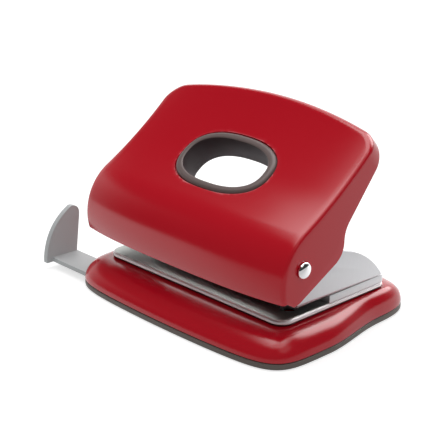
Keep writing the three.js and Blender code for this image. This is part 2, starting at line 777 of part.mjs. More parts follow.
function shellBody() {
  const skins = [shellSkin(0, shellEdge), shellSkin(handleWall, innerEdge)];
  const columns = shellColumns;
  const rows = shellRows;
  const around = 2 * rows + columns + 1;
  const points = [];
  const faces = [];
  const starts = skins.map((skin) => {
    const start = points.length;
    points.push(...skin.face, ...skin.rings.flat());
    return start;
  });
  const size = (rows + 1) * (columns + 1);
  const onFace = (start, j, i) => start + j * (columns + 1) + i;
  const onEdge = (start, k) => {
    if (k <= rows) return onFace(start, k, 0);
    if (k < rows + columns) return onFace(start, rows, k - rows);
    return onFace(start, around - 1 - k, columns);
  };
  const onRing = (start, ring, k) => (ring < 0 ? onEdge(start, k) : start + size + ring * around + k);
  starts.forEach((start, s) => {
    const turn = (a, b, c, d) => (s === 0 ? quad(faces, a, b, c, d) : quad(faces, a, d, c, b));
    for (let j = 0; j < rows; j += 1) {
      for (let i = 0; i < columns; i += 1) {
        turn(onFace(start, j, i), onFace(start, j, i + 1), onFace(start, j + 1, i + 1), onFace(start, j + 1, i));
      }
    }
    for (let ring = -1; ring < 2; ring += 1) {
      for (let k = 0; k < around - 1; k += 1) {
        turn(onRing(start, ring, k), onRing(start, ring, k + 1), onRing(start, ring + 1, k + 1), onRing(start, ring + 1, k));
      }
    }
  });
  const [outer, inner] = starts;
  for (let k = 0; k < around - 1; k += 1) {
    quad(faces, onRing(outer, 2, k), onRing(outer, 2, k + 1), onRing(inner, 2, k + 1), onRing(inner, 2, k));
  }
  const acrossFront = (start) => [
    ...[2, 1, 0].map((ring) => onRing(start, ring, 0)),
    ...Array.from({ length: columns + 1 }, (_, i) => onFace(start, 0, i)),
    ...[0, 1, 2].map((ring) => onRing(start, ring, around - 1)),
  ];
  const outerFront = acrossFront(outer);
  const innerFront = acrossFront(inner);
  for (let i = 0; i < outerFront.length - 1; i += 1) {
    quad(faces, outerFront[i], innerFront[i], innerFront[i + 1], outerFront[i + 1]);
  }
  return toSolid(fromFaces(points, faces));
}

// The finger hole's own frame: its middle on the face, X across, Y up the slope and Z out of the face.
const holeLength = noseLength + slopeLength * holeShare;
const holePlace = shellPoint(0, holeLength, 0);
const holeNormal = profileAt(holeLength, 0).normal;
const holeTilt = THREE.MathUtils.radToDeg(Math.atan2(-holeNormal.x, holeNormal.y));
const onFaceAt = (solid) => solid.rotate([holeTilt, 0, 0]).translate([0, holePlace.y, holePlace.z]);
const rimOval = (inset) => oval(rimLength / 2 - inset, -rimWidth / 2 + inset, rimWidth / 2 - inset, rimExponent, 2 * roundSides);
const rimColumn = (inset, bottom, top) => loft([{ outline: rimOval(inset), z: bottom }, { outline: rimOval(inset), z: top }]);
const skirtInset = rimFace - rimWall;

// Where the lever's screws go, and the bosses in the shell that take them.
const bridgeZ = pivotZ + leverBridgeRise;
const leverScrewY = pivotY + (leverBridgeBack - leverBridgeFront) / 2;
const screwTop = bridgeZ - leverSheet + screwGrip;
{
  const holeCut = onFaceAt(rimColumn(skirtInset - gap, -rimDepth - overrun, rimDepth));
  const seatCut = onFaceAt(rimColumn(-gap, -rimRecess, rimDepth));
  const pivotHole = rodX(pinHole, -handleWidth, handleWidth).translate([0, pivotY, pivotZ]);
  let shell = pierced(shellBody(), [pivotHole, holeCut, seatCut]);
  const mouth = shellPoint(0, noseLength, handleWall / 2).z - overrun / 2;
  for (const [, sign] of leftAndRight) {
    const place = [sign * leverScrewSpread / 2, leverScrewY, 0];
    const boss = rod(screwRadius + bossWall, bridgeZ + gap, mouth + overrun / 2).translate(place);
    const bore = rod(screwRadius + gap, bridgeZ - overrun, screwTop + gap).translate(place);
    shell = shell.add(boss).subtract(bore);
  }
  add('handle_shell', shell, redPaint());
}

// Rim: a soft oval ring that lies on the face and lines the hole with a deep skirt.
{
  const low = gap - rimRecess;
  const rimShoulder = rimHeight - rimRecess + rimRound * (1 - rimRoundShare);
  const face = loft([
    { outline: rimOval(0), z: low },
    { outline: rimOval(0), z: rimHeight - rimRecess },
    { outline: rimOval(rimRound * rimRoundShare), z: rimShoulder },
    { outline: rimOval(rimRound), z: rimHeight - rimRecess + rimRound },
  ]);
  const skirt = rimColumn(skirtInset, -rimDepth, rimHeight - rimRecess);
  const bore = loft([
    { outline: rimOval(rimFace), z: -rimDepth - overrun },
    { outline: rimOval(rimFace), z: rimHeight - rimRecess },
    { outline: rimOval(rimFace - rimRound * rimRoundShare), z: rimShoulder },
    { outline: rimOval(rimFace - rimRound), z: rimHeight - rimRecess + rimRound },
    { outline: rimOval(rimFace - rimRound), z: rimDepth },
  ]);
  add('finger_hole_rim', onFaceAt(face.add(skirt).subtract(bore)), softBrown());
}

// Inner lever: a folded sheet inside the shell, with an arm at each end and a bridge that joins them.
{
  const pivot = at(pivotY, pivotZ);
  const eye = at(barY, barZ);
  const under = handleWall + gap + faceCrown;
  const bridgeFront = at(pivotY - leverBridgeFront, bridgeZ);
  const topEnd = profileAt(noseLength + leverArmLength, under).point;
  const lowEnd = profileAt(noseLength + leverArmLength, under + leverArmDepth).point;
  const topStart = profileAt(noseLength, under).point;
  const eyeAngle = tangentAngle(eye, leverBarEye, lowEnd, 0, -1);
  const joinAngle = tangentAngle(pivot, leverBossRadius, eye, leverBarEye, -1);
  const outline = [
    bridgeFront,
    ...arc(pivot, leverBossRadius, Math.PI, joinAngle + 2 * Math.PI, roundSides / 2),
    ...arc(eye, leverBarEye, joinAngle, eyeAngle, cornerSteps),
    ...rounded([eye, lowEnd, topEnd, topStart], [0, leverEnd, leverEnd, 0]).slice(1),
  ];
  const bar = rodX(barRadius + gap, -handleWidth, handleWidth).translate([0, barY, barZ]);
  const pins = rodX(pinHole, -handleWidth, handleWidth).translate([0, pivotY, pivotZ]);
  const screws = leftAndRight.map(([, sign]) => rod(screwRadius + gap, 0, bridgeZ + overrun)
    .translate([sign * leverScrewSpread / 2, leverScrewY, 0]));
  const arms = leftAndRight.map(([, sign]) => {
    const ends = [sign * leverInner, sign * leverOuter].sort((a, b) => a - b);
    return profileSolid(outline, ends[0], ends[1]);
  });
  const bridge = block(
    [-leverInner - leverSheet / 2, pivotY - leverBridgeFront, bridgeZ - leverSheet],
    [leverInner + leverSheet / 2, pivotY + leverBridgeBack, bridgeZ]);
  add('inner_lever', pierced(bridge.add(arms[0]).add(arms[1]), [bar, pins, ...screws]), zinc());
  add('presser_bar', rodX(barRadius, -leverOuter, leverOuter).translate([0, barY, barZ]), polishedSteel());
  for (const [side, sign] of leftAndRight) {
    const seat = bridgeZ - leverSheet;
    const screw = turned([
      [0, seat - screwHeadHeight],
      [screwHeadRadius, seat - screwHeadHeight],
      [screwHeadRadius, seat],
      [screwRadius, seat],
      [screwRadius, screwTop],
      [0, screwTop],
    ]).translate([sign * leverScrewSpread / 2, leverScrewY, 0]);
    add(`lever_screw_${side}`, screw, darkSteel());
  }
}

// Pivot pins and washers: chrome heads outside, a spread tail inside the lever's arm.
for (const [side, sign] of leftAndRight) {
  const seat = handleWidth / 2 + gap;
  const tail = leverInner - gap;
  const pin = turned([
    [0, tail - pinTailHeight],
    [pinTailRadius, tail - pinTailHeight],
    [pinTailRadius, tail],
    [pinRadius, tail],
    [pinRadius, seat],
    ...pinDomeShares.map(([out, up]) => [pinHeadRadius * out, seat + pinHeadHeight * up]),
  ]);
  const washer = rod(washerRadius, cheekOuter + gap, shellInner - gap).subtract(rod(pinHole, 0, handleWidth));
  const facing = (solid) => solid.rotate([0, sign * 90, 0]).translate([0, pivotY, pivotZ]);
  add(`pivot_pin_${side}`, facing(pin), chrome());
  add(`pivot_washer_${side}`, facing(washer), nylon());
}

// Paper guide: bar and fin in one moulding, drawn out to the left.
{
  const bar = plate(
    roundedRectangle(-guideReach - finThickness / 2, guideInnerEnd, guideY, guideBack, [0, guideCorner, guideCorner, 0]),
    guideHeight, guideTop);
  const front = guideY - finFrontReach;
  const back = guideBack + finLean;
  const top = guideHeight + finHeight;
  const fin = new THREE.Shape();
  fin.moveTo(guideBack - finFootInset, guideHeight);
  fin.lineTo(back, top - finTipRadius);
  fin.quadraticCurveTo(back, top, back - finTipRadius, top);
  fin.quadraticCurveTo(
    front + finBend, guideHeight + finHeight * finBendShare, front, guideHeight + finHeight * finFootShare);
  fin.lineTo(front, guideHeight);
  const points = fin.getPoints(cornerSteps * 2);
  const upright = profileSolid(points, -guideReach - finThickness, -guideReach);
  const inset = guideWidth * guideCatchShare;
  const stop = block(
    [guideInnerEnd - guideCatch, guideY + inset, guideHeight],
    [guideInnerEnd, guideBack - inset, guideTop + guideCatchHeight]);
  add('paper_guide', bar.add(upright).add(stop), greyPlastic());
}

// Guide channel: a folded strip under the deck, in which the bar slides and is held by friction.
{
  const lipBottom = guideHeight - gap - channelLip;
  const roof = guideTop + gap;
  const outline = [
    at(channelFrontY, lipBottom),
    at(channelFrontY + channelSheet + channelLipWidth, lipBottom),
    at(channelFrontY + channelSheet + channelLipWidth, guideHeight - gap),
    at(channelFrontY + channelSheet, guideHeight - gap),
    at(channelFrontY + channelSheet, roof),
    at(channelBackY - channelSheet, roof),
    at(channelBackY - channelSheet, guideHeight - gap),
    at(channelBackY - channelSheet - channelLipWidth, guideHeight - gap),
    at(channelBackY - channelSheet - channelLipWidth, lipBottom),
    at(channelBackY, lipBottom),
    at(channelBackY, deckUnder - channelSheet),
    at(channelBackY + channelFlange, deckUnder - channelSheet),
    at(channelBackY + channelFlange, deckUnder),
    at(channelBackY - channelSheet, deckUnder),
    at(channelBackY - channelSheet, roof + channelSheet),
    at(channelFrontY, roof + channelSheet),
  ];
  const screwHoles = channelScrewX.map((x) => rod(screwRadius + gap, 0, deckTop).translate([x, channelScrewY, 0]));
  const strip = profileSolid(outline, -channelStart, -channelStart + channelLength);
  add('guide_channel', pierced(strip, screwHoles), zinc());
  channelScrewX.forEach((x, i) => {
    const seat = deckUnder - channelSheet;
    const screw = turned([
      [0, seat - screwHeadHeight],
      [screwHeadRadius, seat - screwHeadHeight],
      [screwHeadRadius, seat],
      [screwRadius, seat],
      [screwRadius, deckTop - gap],
      [0, deckTop - gap],
    ]).translate([x, channelScrewY, 0]);
    add(`channel_screw_${['left', 'right'][i]}`, screw, darkSteel());
  });
}

export default model;
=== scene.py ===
import math

import bmesh
import bpy
from mathutils import Matrix, Vector


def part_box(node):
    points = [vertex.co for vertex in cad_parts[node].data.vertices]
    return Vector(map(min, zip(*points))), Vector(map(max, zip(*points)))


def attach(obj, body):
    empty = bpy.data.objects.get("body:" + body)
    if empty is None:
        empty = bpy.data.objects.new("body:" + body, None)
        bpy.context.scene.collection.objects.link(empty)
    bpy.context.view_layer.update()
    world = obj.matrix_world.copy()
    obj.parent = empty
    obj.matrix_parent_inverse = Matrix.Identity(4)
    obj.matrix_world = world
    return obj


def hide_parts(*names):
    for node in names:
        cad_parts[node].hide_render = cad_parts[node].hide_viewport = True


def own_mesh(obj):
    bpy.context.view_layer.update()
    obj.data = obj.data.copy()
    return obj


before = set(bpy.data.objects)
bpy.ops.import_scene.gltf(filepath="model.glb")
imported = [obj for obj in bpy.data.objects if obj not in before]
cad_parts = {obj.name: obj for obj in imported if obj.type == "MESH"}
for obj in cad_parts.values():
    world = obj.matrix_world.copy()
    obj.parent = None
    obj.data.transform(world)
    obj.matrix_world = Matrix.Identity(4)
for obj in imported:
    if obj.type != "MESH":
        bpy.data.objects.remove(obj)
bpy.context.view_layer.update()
mm = 0.001
gap = 0.3
overrun = 3.0
both_sides = (("left", -1), ("right", 1))


# Camera. It looks down on the punch from its front right, with the lens that the photograph's edges give.
camera_turn = math.radians(46.785)
camera_height = math.radians(19.997)
camera_roll = math.radians(-0.10)
camera_place = Vector((316.9, -311.2, 195.7)) * mm
image_side = 430
focal_pixels = 1249.7

bpy.context.scene.view_settings.view_transform = "Standard"
forward = Vector((
    -math.sin(camera_turn) * math.cos(camera_height),
    math.cos(camera_turn) * math.cos(camera_height),
    -math.sin(camera_height),
))
level_right = forward.cross(Vector((0, 0, 1))).normalized()
level_up = level_right.cross(forward)
right = level_right * math.cos(camera_roll) + level_up * math.sin(camera_roll)
up = level_up * math.cos(camera_roll) - level_right * math.sin(camera_roll)
bpy.ops.object.camera_add()
camera = bpy.context.object
camera.matrix_world = Matrix.Translation(camera_place) @ Matrix((right, up, -forward)).transposed().to_4x4()
camera.data.sensor_width = 36
camera.data.lens = focal_pixels / image_side * camera.data.sensor_width
camera.data.clip_start = 0.01
bpy.context.scene.camera = camera


# Chip tray. A soft brown plastic bottom on which the punch stands: a flat floor, a rounded band that shows
# all round under the cover, and a lip that snaps into it. It swings down at the rear edge to let the chips
# out.
outline_points = 288
oval_spread = 5 / 8
base_half = 56.8
base_rear_half = 52.3
base_front = -41.0
base_back = 45.4
front_exponent = 8
rear_exponent = 6
front_bow = 2.7
rear_bow = 1.6
shoulder_start = -11.5
shoulder_end = 21.0
tray_top = 2.4
tray_floor = 1.4
tray_lip_top = 4.0
tray_lip_inset = 2.5
tray_lip_wall = 1.0
tray_round = 0.9
guide_y = -34.6
guide_back = -22.2
guide_bottom = 2.9
guide_top = 4.7
channel_left = -34.0
notch_play = 1.0


def activate(piece):
    bpy.ops.object.select_all(action="DESELECT")
    piece.select_set(True)
    bpy.context.view_layer.objects.active = piece


def from_faces(name, points, faces, edges=()):
    mesh = bpy.data.meshes.new(name)
    mesh.from_pydata([Vector(p) * mm for p in points], edges, faces)
    mesh.validate()
    piece = bpy.data.objects.new(name, mesh)
    bpy.context.collection.objects.link(piece)
    return piece


def face_outwards(piece):
    activate(piece)
    bpy.ops.object.mode_set(mode="EDIT")
    bpy.ops.mesh.select_all(action="SELECT")
    bpy.ops.mesh.remove_doubles(threshold=0.001 * mm)
    bpy.ops.mesh.normals_make_consistent(inside=False)
    bpy.ops.object.mode_set(mode="OBJECT")
    return piece


def smooth(piece, degrees=35):
    activate(piece)
    bpy.ops.object.shade_smooth_by_angle(angle=math.radians(degrees))


def apply_modifiers(piece):
    activate(piece)
    for modifier in list(piece.modifiers):
        bpy.ops.object.modifier_apply(modifier=modifier.name)


def soften(piece, width, segments=2, degrees=35):
    """Rounds every edge that is sharper than the angle."""
    bevel = piece.modifiers.new("soften", "BEVEL")
    bevel.width = width * mm
    bevel.segments = segments
    bevel.limit_method = "ANGLE"
    bevel.angle_limit = math.radians(degrees)
    apply_modifiers(piece)


def cut(piece, tool, operation="DIFFERENCE"):
    """Cuts the tool out of the piece, or joins it, and drops the tool."""
    boolean = piece.modifiers.new("cut", "BOOLEAN")
    boolean.object = tool
    boolean.operation = operation
    boolean.solver = "EXACT"
    apply_modifiers(piece)
    bpy.data.objects.remove(tool)


def oval(half, front, back, exponent, count=outline_points, behind=None):
    """A squared-off oval, its points spread evenly round a softer one. The rear half can have an exponent of
    its own."""
    points = []
    for i in range(count):
        turn = 2 * math.pi * (i + 0.5) / count
        c = math.copysign(abs(math.cos(turn)) ** oval_spread, math.cos(turn))
        s = math.copysign(abs(math.sin(turn)) ** oval_spread, math.sin(turn))
        power = behind if behind and s > 0 else exponent
        reach = (abs(c) ** power + abs(s) ** power) ** (-1 / power)
        points.append((c * reach * half, (front + back) / 2 + s * reach * (back - front) / 2))
    return points


def smoothstep(value, start, end):
    share = min(max((value - start) / (end - start), 0), 1)
    return share * share * (3 - 2 * share)


def base_outline(inset):
    """The base seen from above: bowed front and back, with sides that step in behind the shoulders."""
    half = base_half - inset
    front, back = base_front + front_bow + inset, base_back - rear_bow - inset
    points = []
    for x, y in oval(half, front, back, front_exponent, behind=rear_exponent):
        share = smoothstep(y, shoulder_start, shoulder_end)
        width = 1 + (base_rear_half / base_half - 1) * share
        bow = (rear_bow if y > 0 else -front_bow) * (1 - (x / half) ** 2)
        points.append((x * width, y + bow))
    return points


def loft(name, rings, closed=False):
    """A skin through outlines that have the same number of points, each with its height. It is capped at its
    two ends, or its last outline meets its first."""
    count = len(rings[0][0])
    points = [(x, y, z) for outline, z in rings for x, y in outline]
    faces = []
    for r in range(len(rings) if closed else len(rings) - 1):
        low, high = r * count, (r + 1) % len(rings) * count
        for i in range(count):
            j = (i + 1) % count
            faces.append((low + i, low + j, high + j, high + i))
    if not closed:
        faces.append(tuple(range(count)))
        faces.append(tuple(range(len(points) - count, len(points))))
    return face_outwards(from_faces(name, points, faces))


def quarter(radius, steps=5):
    """Insets and heights of a quarter round that turns from a flat into an upright wall."""
    turns = [math.pi / 2 * k / steps for k in range(steps + 1)]
    return [(radius * (1 - math.sin(t)), radius * (1 - math.cos(t))) for t in turns]


def block(name, low, high):
    bpy.ops.mesh.primitive_cube_add(size=1)
    piece = bpy.context.object
    piece.name = name
    centre = [(a + b) / 2 * mm for a, b in zip(low, high)]
    piece.data.transform(Matrix.Diagonal([(b - a) * mm for a, b in zip(low, high)] + [1]))
    piece.data.transform(Matrix.Translation(centre))
    return piece


def guide_opening(play, low):
    """Room for the paper guide's bar, from beyond the base's left side to its channel."""
    return block("guide_opening", (-base_half - overrun, guide_y - play, low),
                 (channel_left - play, guide_back + play, guide_top + gap))


tray_edge = quarter(tray_round)
tray_shoulder = [(inset, tray_top - z) for inset, z in quarter(tray_round / 2)[::-1]]
tray_lip_inner = tray_lip_inset + tray_lip_wall
tray_rings = [(base_outline(inset), z) for inset, z in tray_edge + tray_shoulder]
tray_rings += [(base_outline(tray_lip_inset), z) for z in (tray_top, tray_lip_top)]
tray_rings += [(base_outline(tray_lip_inner), z) for z in (tray_lip_top, tray_floor)]
chip_tray = loft("chip_tray_soft", tray_rings)
cut(chip_tray, guide_opening(notch_play, guide_bottom - gap))
soften(chip_tray, 0.15)
smooth(chip_tray)


class Tree:
    """The nodes of a material, group or world, with short ways to add, fill and link them."""

    def __init__(self, node_tree):
        self.nodes, self.links = node_tree.nodes, node_tree.links

    def put(self, value, socket):
        """Links an output to a socket, or writes a constant on it."""
        if isinstance(value, bpy.types.NodeSocket):
            self.links.new(value, socket)
        else:
            socket.default_value = (*value, 1) if socket.type == "RGBA" else value

    def fill(self, node, sockets):
        for label, value in sockets.items():
            self.put(value, node.inputs[label.replace("_", " ")])
        return node

    def add(self, kind, operation=None, **sockets):
        node = self.nodes.new("ShaderNode" + kind)
        if operation:
            node.operation = operation
        return self.fill(node, sockets)

    def add_group(self, group, **sockets):
        node = self.nodes.new("ShaderNodeGroup")
        node.node_tree = group
        return self.fill(node, sockets)

    def math(self, operation, *values):
        node = self.add("Math", operation)
        for value, socket in zip(values, node.inputs):
            self.put(value, socket)
        return node.outputs[0]

    def dot(self, value, direction):
        node = self.add("VectorMath", "DOT_PRODUCT", Vector=value)
        node.inputs[1].default_value = direction
        return node.outputs["Value"]


def new_material(name, color, roughness, metallic=0.0):
    """A Principled material: itself, its tree, its shader and its object coordinates."""
    material = bpy.data.materials.new(name)
    material.use_nodes = True
    tree = Tree(material.node_tree)
    shader = tree.nodes["Principled BSDF"]
    tree.fill(shader, {"Base Color": color, "Roughness": roughness, "Metallic": metallic})
    return material, tree, shader, tree.add("TexCoord").outputs["Object"]


def new_group(name, inputs, outputs):
    """A shader node group: itself, its tree, what it is given and where its results go."""
    group = bpy.data.node_groups.new(name, "ShaderNodeTree")
    group.interface.new_socket("Vector", in_out="INPUT", socket_type="NodeSocketVector")
    for label, value in inputs.items():
        kind = "NodeSocketColor" if isinstance(value, tuple) else "NodeSocketFloat"
        socket = group.interface.new_socket(label, in_out="INPUT", socket_type=kind)
        socket.default_value = (*value, 1) if isinstance(value, tuple) else value
    for label, kind in outputs.items():
        group.interface.new_socket(label, in_out="OUTPUT", socket_type=kind)
    tree = Tree(group)
    return group, tree, tree.nodes.new("NodeGroupInput").outputs, tree.nodes.new("NodeGroupOutput")


def surface_grain_group(grain_share=0.35):
    """Fine grain of a surface, for its bump, and the slow change of colour and gloss that handling leaves."""
    group, tree, given, out = new_group(
        "surface_grain",
        {"Grain per metre": 900.0, "Cloud per metre": 25.0, "Color": (0.5, 0.5, 0.5), "Color change": 0.06,
         "Roughness": 0.4, "Roughness change": 0.06},
        {"Height": "NodeSocketFloat", "Color": "NodeSocketColor", "Roughness": "NodeSocketFloat"})
    grain = tree.add("TexNoise", Vector=given["Vector"], Scale=given["Grain per metre"], Detail=3)
    cloud = tree.add("TexNoise", Vector=given["Vector"], Scale=given["Cloud per metre"], Detail=4)
    both = tree.math("MULTIPLY_ADD", grain.outputs["Fac"], grain_share, cloud.outputs["Fac"])
    even = tree.math("SUBTRACT", both, (1 + grain_share) / 2)
    change = tree.math("MULTIPLY_ADD", even, given["Color change"], 1.0)
    tint = tree.add("VectorMath", "SCALE", Vector=given["Color"], Scale=change)
    gloss = tree.math("MULTIPLY_ADD", even, given["Roughness change"], given["Roughness"])
    tree.fill(out, {"Height": grain.outputs["Fac"], "Color": tint.outputs["Vector"], "Roughness": gloss})
    return group


def edge_wear_and_highlight_group(flat=0.5):
    """A mask of a piece's outer edges, broken up by noise, that lightens them: rubbed wear, and on the red
    paint a painted highlight along its creases.
    """
    group, tree, given, out = new_group(
        "edge_wear_and_highlight", {"Reach": 0.06, "Patch per metre": 160.0}, {"Mask": "NodeSocketFloat"})
    patch = tree.add("TexNoise", Vector=given["Vector"], Scale=given["Patch per metre"], Detail=5)
    edge = tree.math("SUBTRACT", tree.add("NewGeometry").outputs["Pointiness"], flat)
    edge = tree.math("DIVIDE", edge, given["Reach"])
    lightened_edges = tree.math("MULTIPLY", edge, patch.outputs["Fac"])
    tree.fill(out, {"Mask": tree.add("Clamp", Value=lightened_edges).outputs["Result"]})
    return group


surface_grain = surface_grain_group()
edge_wear_and_highlight = edge_wear_and_highlight_group()


def grained(name, color, roughness, metallic=0.0, grain=900.0, depth=0.02, cloud=25.0, color_change=0.08,
            roughness_change=0.1, wear_and_highlight=0.0, wear_and_highlight_color=(0.6, 0.6, 0.6)):
    """A material with the colour, gloss and bump of the surface grain, whose edges are made lighter, as rubbed
    wear and, on the red paint, as a painted highlight.
    """
    material, tree, shader, place = new_material(name, color, roughness, metallic)
    surface = tree.add_group(surface_grain, Vector=place, Grain_per_metre=grain, Cloud_per_metre=cloud,
                             Color=color, Color_change=color_change, Roughness=roughness,
                             Roughness_change=roughness_change)
    amount = tree.math("MULTIPLY", tree.add_group(edge_wear_and_highlight, Vector=place).outputs["Mask"], wear_and_highlight)
    mix = tree.nodes.new("ShaderNodeMix")
    mix.data_type = "RGBA"
    tree.fill(mix, {"Factor": amount, "A": surface.outputs["Color"], "B": wear_and_highlight_color})
    bump = tree.add("Bump", Distance=depth * mm, Height=surface.outputs["Height"])
    tree.fill(shader, {"Base Color": mix.outputs["Result"], "Roughness": surface.outputs["Roughness"],
                       "Normal": bump.outputs["Normal"]})
    return material


def finish_piece(piece, material, body, slot, *nodes):
    """Gives a piece its material and its body, and hides the CAD nodes that it stands for. The slot is not
    used.
    """
    piece.data.materials.clear()
    piece.data.materials.append(material)
    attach(piece, body)
    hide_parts(*nodes)


soft_plastic = grained("soft brown plastic", (0.115, 0.095, 0.083), 0.52, grain=1500.0, depth=0.03,
                       color_change=0.15, wear_and_highlight=0.25, wear_and_highlight_color=(0.22, 0.19, 0.17))
finish_piece(chip_tray, soft_plastic, "tray", "soft_plastic", "chip_tray")


# Base cover. The red shell of the base, like a flat pillow: it falls in a quarter oval from the die plate's
# edge to the tray. Inside it is hollow for the chips, with a chute under each die and a slot for the paper
# guide.
cover_bottom = 2.7
deck_top = 11.2
deck_under = 9.4
cover_wall = 2.0
cover_steps = 26
plate_half = 47.8
plate_front = -27.0
plate_back = 29.0
plate_exponent = 18
seat_margin = 0.4
chute_radius = 4.5
punch_spacing = 80.0
punch_y = -15.0
punch_places = [(sign * punch_spacing / 2, punch_y) for _, sign in both_sides]


def pillow(inset, bottom, top, steps=cover_steps):
    lower = base_outline(inset)
    margin = seat_margin - inset
    upper = oval(plate_half + margin, plate_front - margin, plate_back + margin, plate_exponent)
    rings = []
    for k in range(steps + 1):
        rise = math.pi / 2 * k / steps
        share = math.cos(rise)
        outline = [(a + (c - a) * share, b + (d - b) * share) for (a, b), (c, d) in zip(upper, lower)]
        rings.append((outline, bottom + (top - bottom) * math.sin(rise)))
    return rings


def upright(name, radius, x, y, low, high, sides=48):
    bpy.ops.mesh.primitive_cylinder_add(vertices=sides, radius=radius * mm, depth=(high - low) * mm)
    piece = bpy.context.object
    piece.name = name
    piece.data.transform(Matrix.Translation(Vector((x, y, (low + high) / 2)) * mm))
    return piece


def pierce(piece, radius, places, low, high):
    """Cuts upright holes through the part of a piece that lies between two heights."""
    for x, y in places:
        cut(piece, upright("hole", radius, x, y, low - overrun, high + overrun))


inner = pillow(cover_wall, cover_bottom, deck_under)[::-1]
outer = pillow(0, cover_bottom, deck_top)
lip_inner = [(base_outline(cover_wall - 0.25), cover_bottom)]
lip_outer = [(base_outline(0.25), cover_bottom), (base_outline(0.05), cover_bottom + 0.12)]
base_cover = loft("base_cover_painted", inner + lip_inner + lip_outer + outer[1:])
pierce(base_cover, chute_radius, punch_places, deck_under, deck_top)
cut(base_cover, guide_opening(gap, cover_bottom - 1.7))
smooth(base_cover, 40)

# The red paint's lighter edges are a painted highlight along the handle's crease and the cover's edges, not
# wear.
red_paint = grained("red paint", (0.47, 0.0025, 0.0120), 0.19, grain=700.0, depth=0.004, cloud=18.0,
                    color_change=0.05, roughness_change=0.05, wear_and_highlight=0.15, wear_and_highlight_color=(0.55, 0.05, 0.07))
finish_piece(base_cover, red_paint, "base", "red_paint", "base_cover")


# Die plate. A steel plate on the cover, satin on top, in which are the two holes that the punches enter. Its
# rounded edge gets a bright material, a painted highlight, and its downward faces a dark one, painted shade.
plate_top = 13.6
plate_corner = 5.5
plate_rear_corner = 3.5
plate_bullnose = 1.0
die_radius = 3.05
highlight_from, shade_from = 0.97, -0.1
lines_along_x = (60, 4000, 4000)


def pick(piece, kind, test):
    """Selects, in edit mode, the vertices or edges whose corners, in millimetres, pass the test."""
    bpy.ops.mesh.select_mode(type=kind)
    bpy.ops.mesh.select_all(action="DESELECT")
    mesh = bmesh.from_edit_mesh(piece.data)
    for item in mesh.verts if kind == "VERT" else mesh.edges:
        corners = [item] if kind == "VERT" else item.verts
        if test([corner.co / mm for corner in corners]):
            item.select_set(True)
    bmesh.update_edit_mesh(piece.data)


def sheet_blank(name, left, right_end, front, back, bottom, top, front_corner, rear_corner):
    """A flat plate with rounded corners, cut from sheet."""
    bpy.ops.mesh.primitive_plane_add(size=1)
    piece = bpy.context.object
    piece.name = name
    piece.data.transform(Matrix.Diagonal(((right_end - left) * mm, (back - front) * mm, 1, 1)))
    piece.data.transform(Matrix.Translation(Vector((left + right_end, front + back, 2 * bottom)) / 2 * mm))
    activate(piece)
    bpy.ops.object.mode_set(mode="EDIT")
    middle = (front + back) / 2
    for radius, test in ((front_corner, lambda p: p[0].y < middle), (rear_corner, lambda p: p[0].y > middle)):
        if radius:
            pick(piece, "VERT", test)
            bpy.ops.mesh.bevel(offset=radius * mm, segments=12, affect="VERTICES")
    bpy.ops.mesh.select_all(action="SELECT")
    bpy.ops.mesh.extrude_region_move(TRANSFORM_OT_translate={"value": (0, 0, (top - bottom) * mm)})
    bpy.ops.mesh.select_all(action="SELECT")
    bpy.ops.mesh.normals_make_consistent(inside=False)
    bpy.ops.object.mode_set(mode="OBJECT")
    return piece


die_plate = sheet_blank("die_plate_polished", -plate_half, plate_half, plate_front, plate_back,
                        deck_top, plate_top, plate_corner, plate_rear_corner)
soften(die_plate, plate_bullnose, 6)
pierce(die_plate, die_radius, punch_places, deck_top, plate_top)
soften(die_plate, 0.3, 3, 50)
smooth(die_plate)


def brushed_metal(name, color, roughness, across, depth, streak=0.12, scratches=0.0):
    """Bright metal with fine lines, faint clouds in its gloss and, if wanted, thin scratches."""
    material, tree, shader, place = new_material(name, color, roughness, 1.0)
    stretched = tree.add("Mapping", Vector=place, Scale=across)
    lines = tree.add("TexNoise", Vector=stretched.outputs["Vector"], Scale=1, Detail=4).outputs["Fac"]
    surface = tree.add_group(surface_grain, Vector=place, Grain_per_metre=1200.0, Cloud_per_metre=40.0,
                             Color=color, Color_change=0.1, Roughness=roughness, Roughness_change=0.12)
    uneven = tree.math("SUBTRACT", lines, 0.5)
    gloss = tree.math("MULTIPLY_ADD", uneven, streak, surface.outputs["Roughness"])
    height = lines
    if scratches:
        slanted = tree.add("Mapping", Vector=place, Rotation=(0, 0, math.radians(24)), Scale=(30, 900, 900))
        marks = tree.add("TexNoise", Vector=slanted.outputs["Vector"], Scale=1, Detail=1)
        deep = tree.math("GREATER_THAN", marks.outputs["Fac"], 0.7)
        height = tree.math("MULTIPLY_ADD", deep, -scratches, lines)
    bump = tree.add("Bump", Distance=depth * mm, Height=height)
    tree.fill(shader, {"Base Color": surface.outputs["Color"], "Roughness": gloss,
                       "Normal": bump.outputs["Normal"]})
    return material


satin_steel = brushed_metal("satin steel", (0.46, 0.48, 0.46), 0.48, lines_along_x, 0.001, scratches=1.0)
painted_highlight_steel = brushed_metal("painted highlight steel edge", (0.92, 0.88, 0.88), 0.55, lines_along_x, 0.0005)
painted_shade_steel = brushed_metal("painted shade steel underside", (0.10, 0.10, 0.10), 0.45, lines_along_x, 0.0005)
finish_piece(die_plate, satin_steel, "base", "polished_steel", "die_plate")
die_plate.data.materials.append(painted_highlight_steel)
die_plate.data.materials.append(painted_shade_steel)
# Faces that turn away from flat get the bright material, a painted highlight; faces that turn downwards get
# the dark one, painted shade.
for face in die_plate.data.polygons:
    face.material_index = (face.normal.z <= highlight_from) + (face.normal.z <= shade_from)


# Paper stop. The flat spacer behind the throat, as thick as the throat is high; paper is pushed in until it
# meets it.
stop_front = -2.4
web_bottom = 16.8

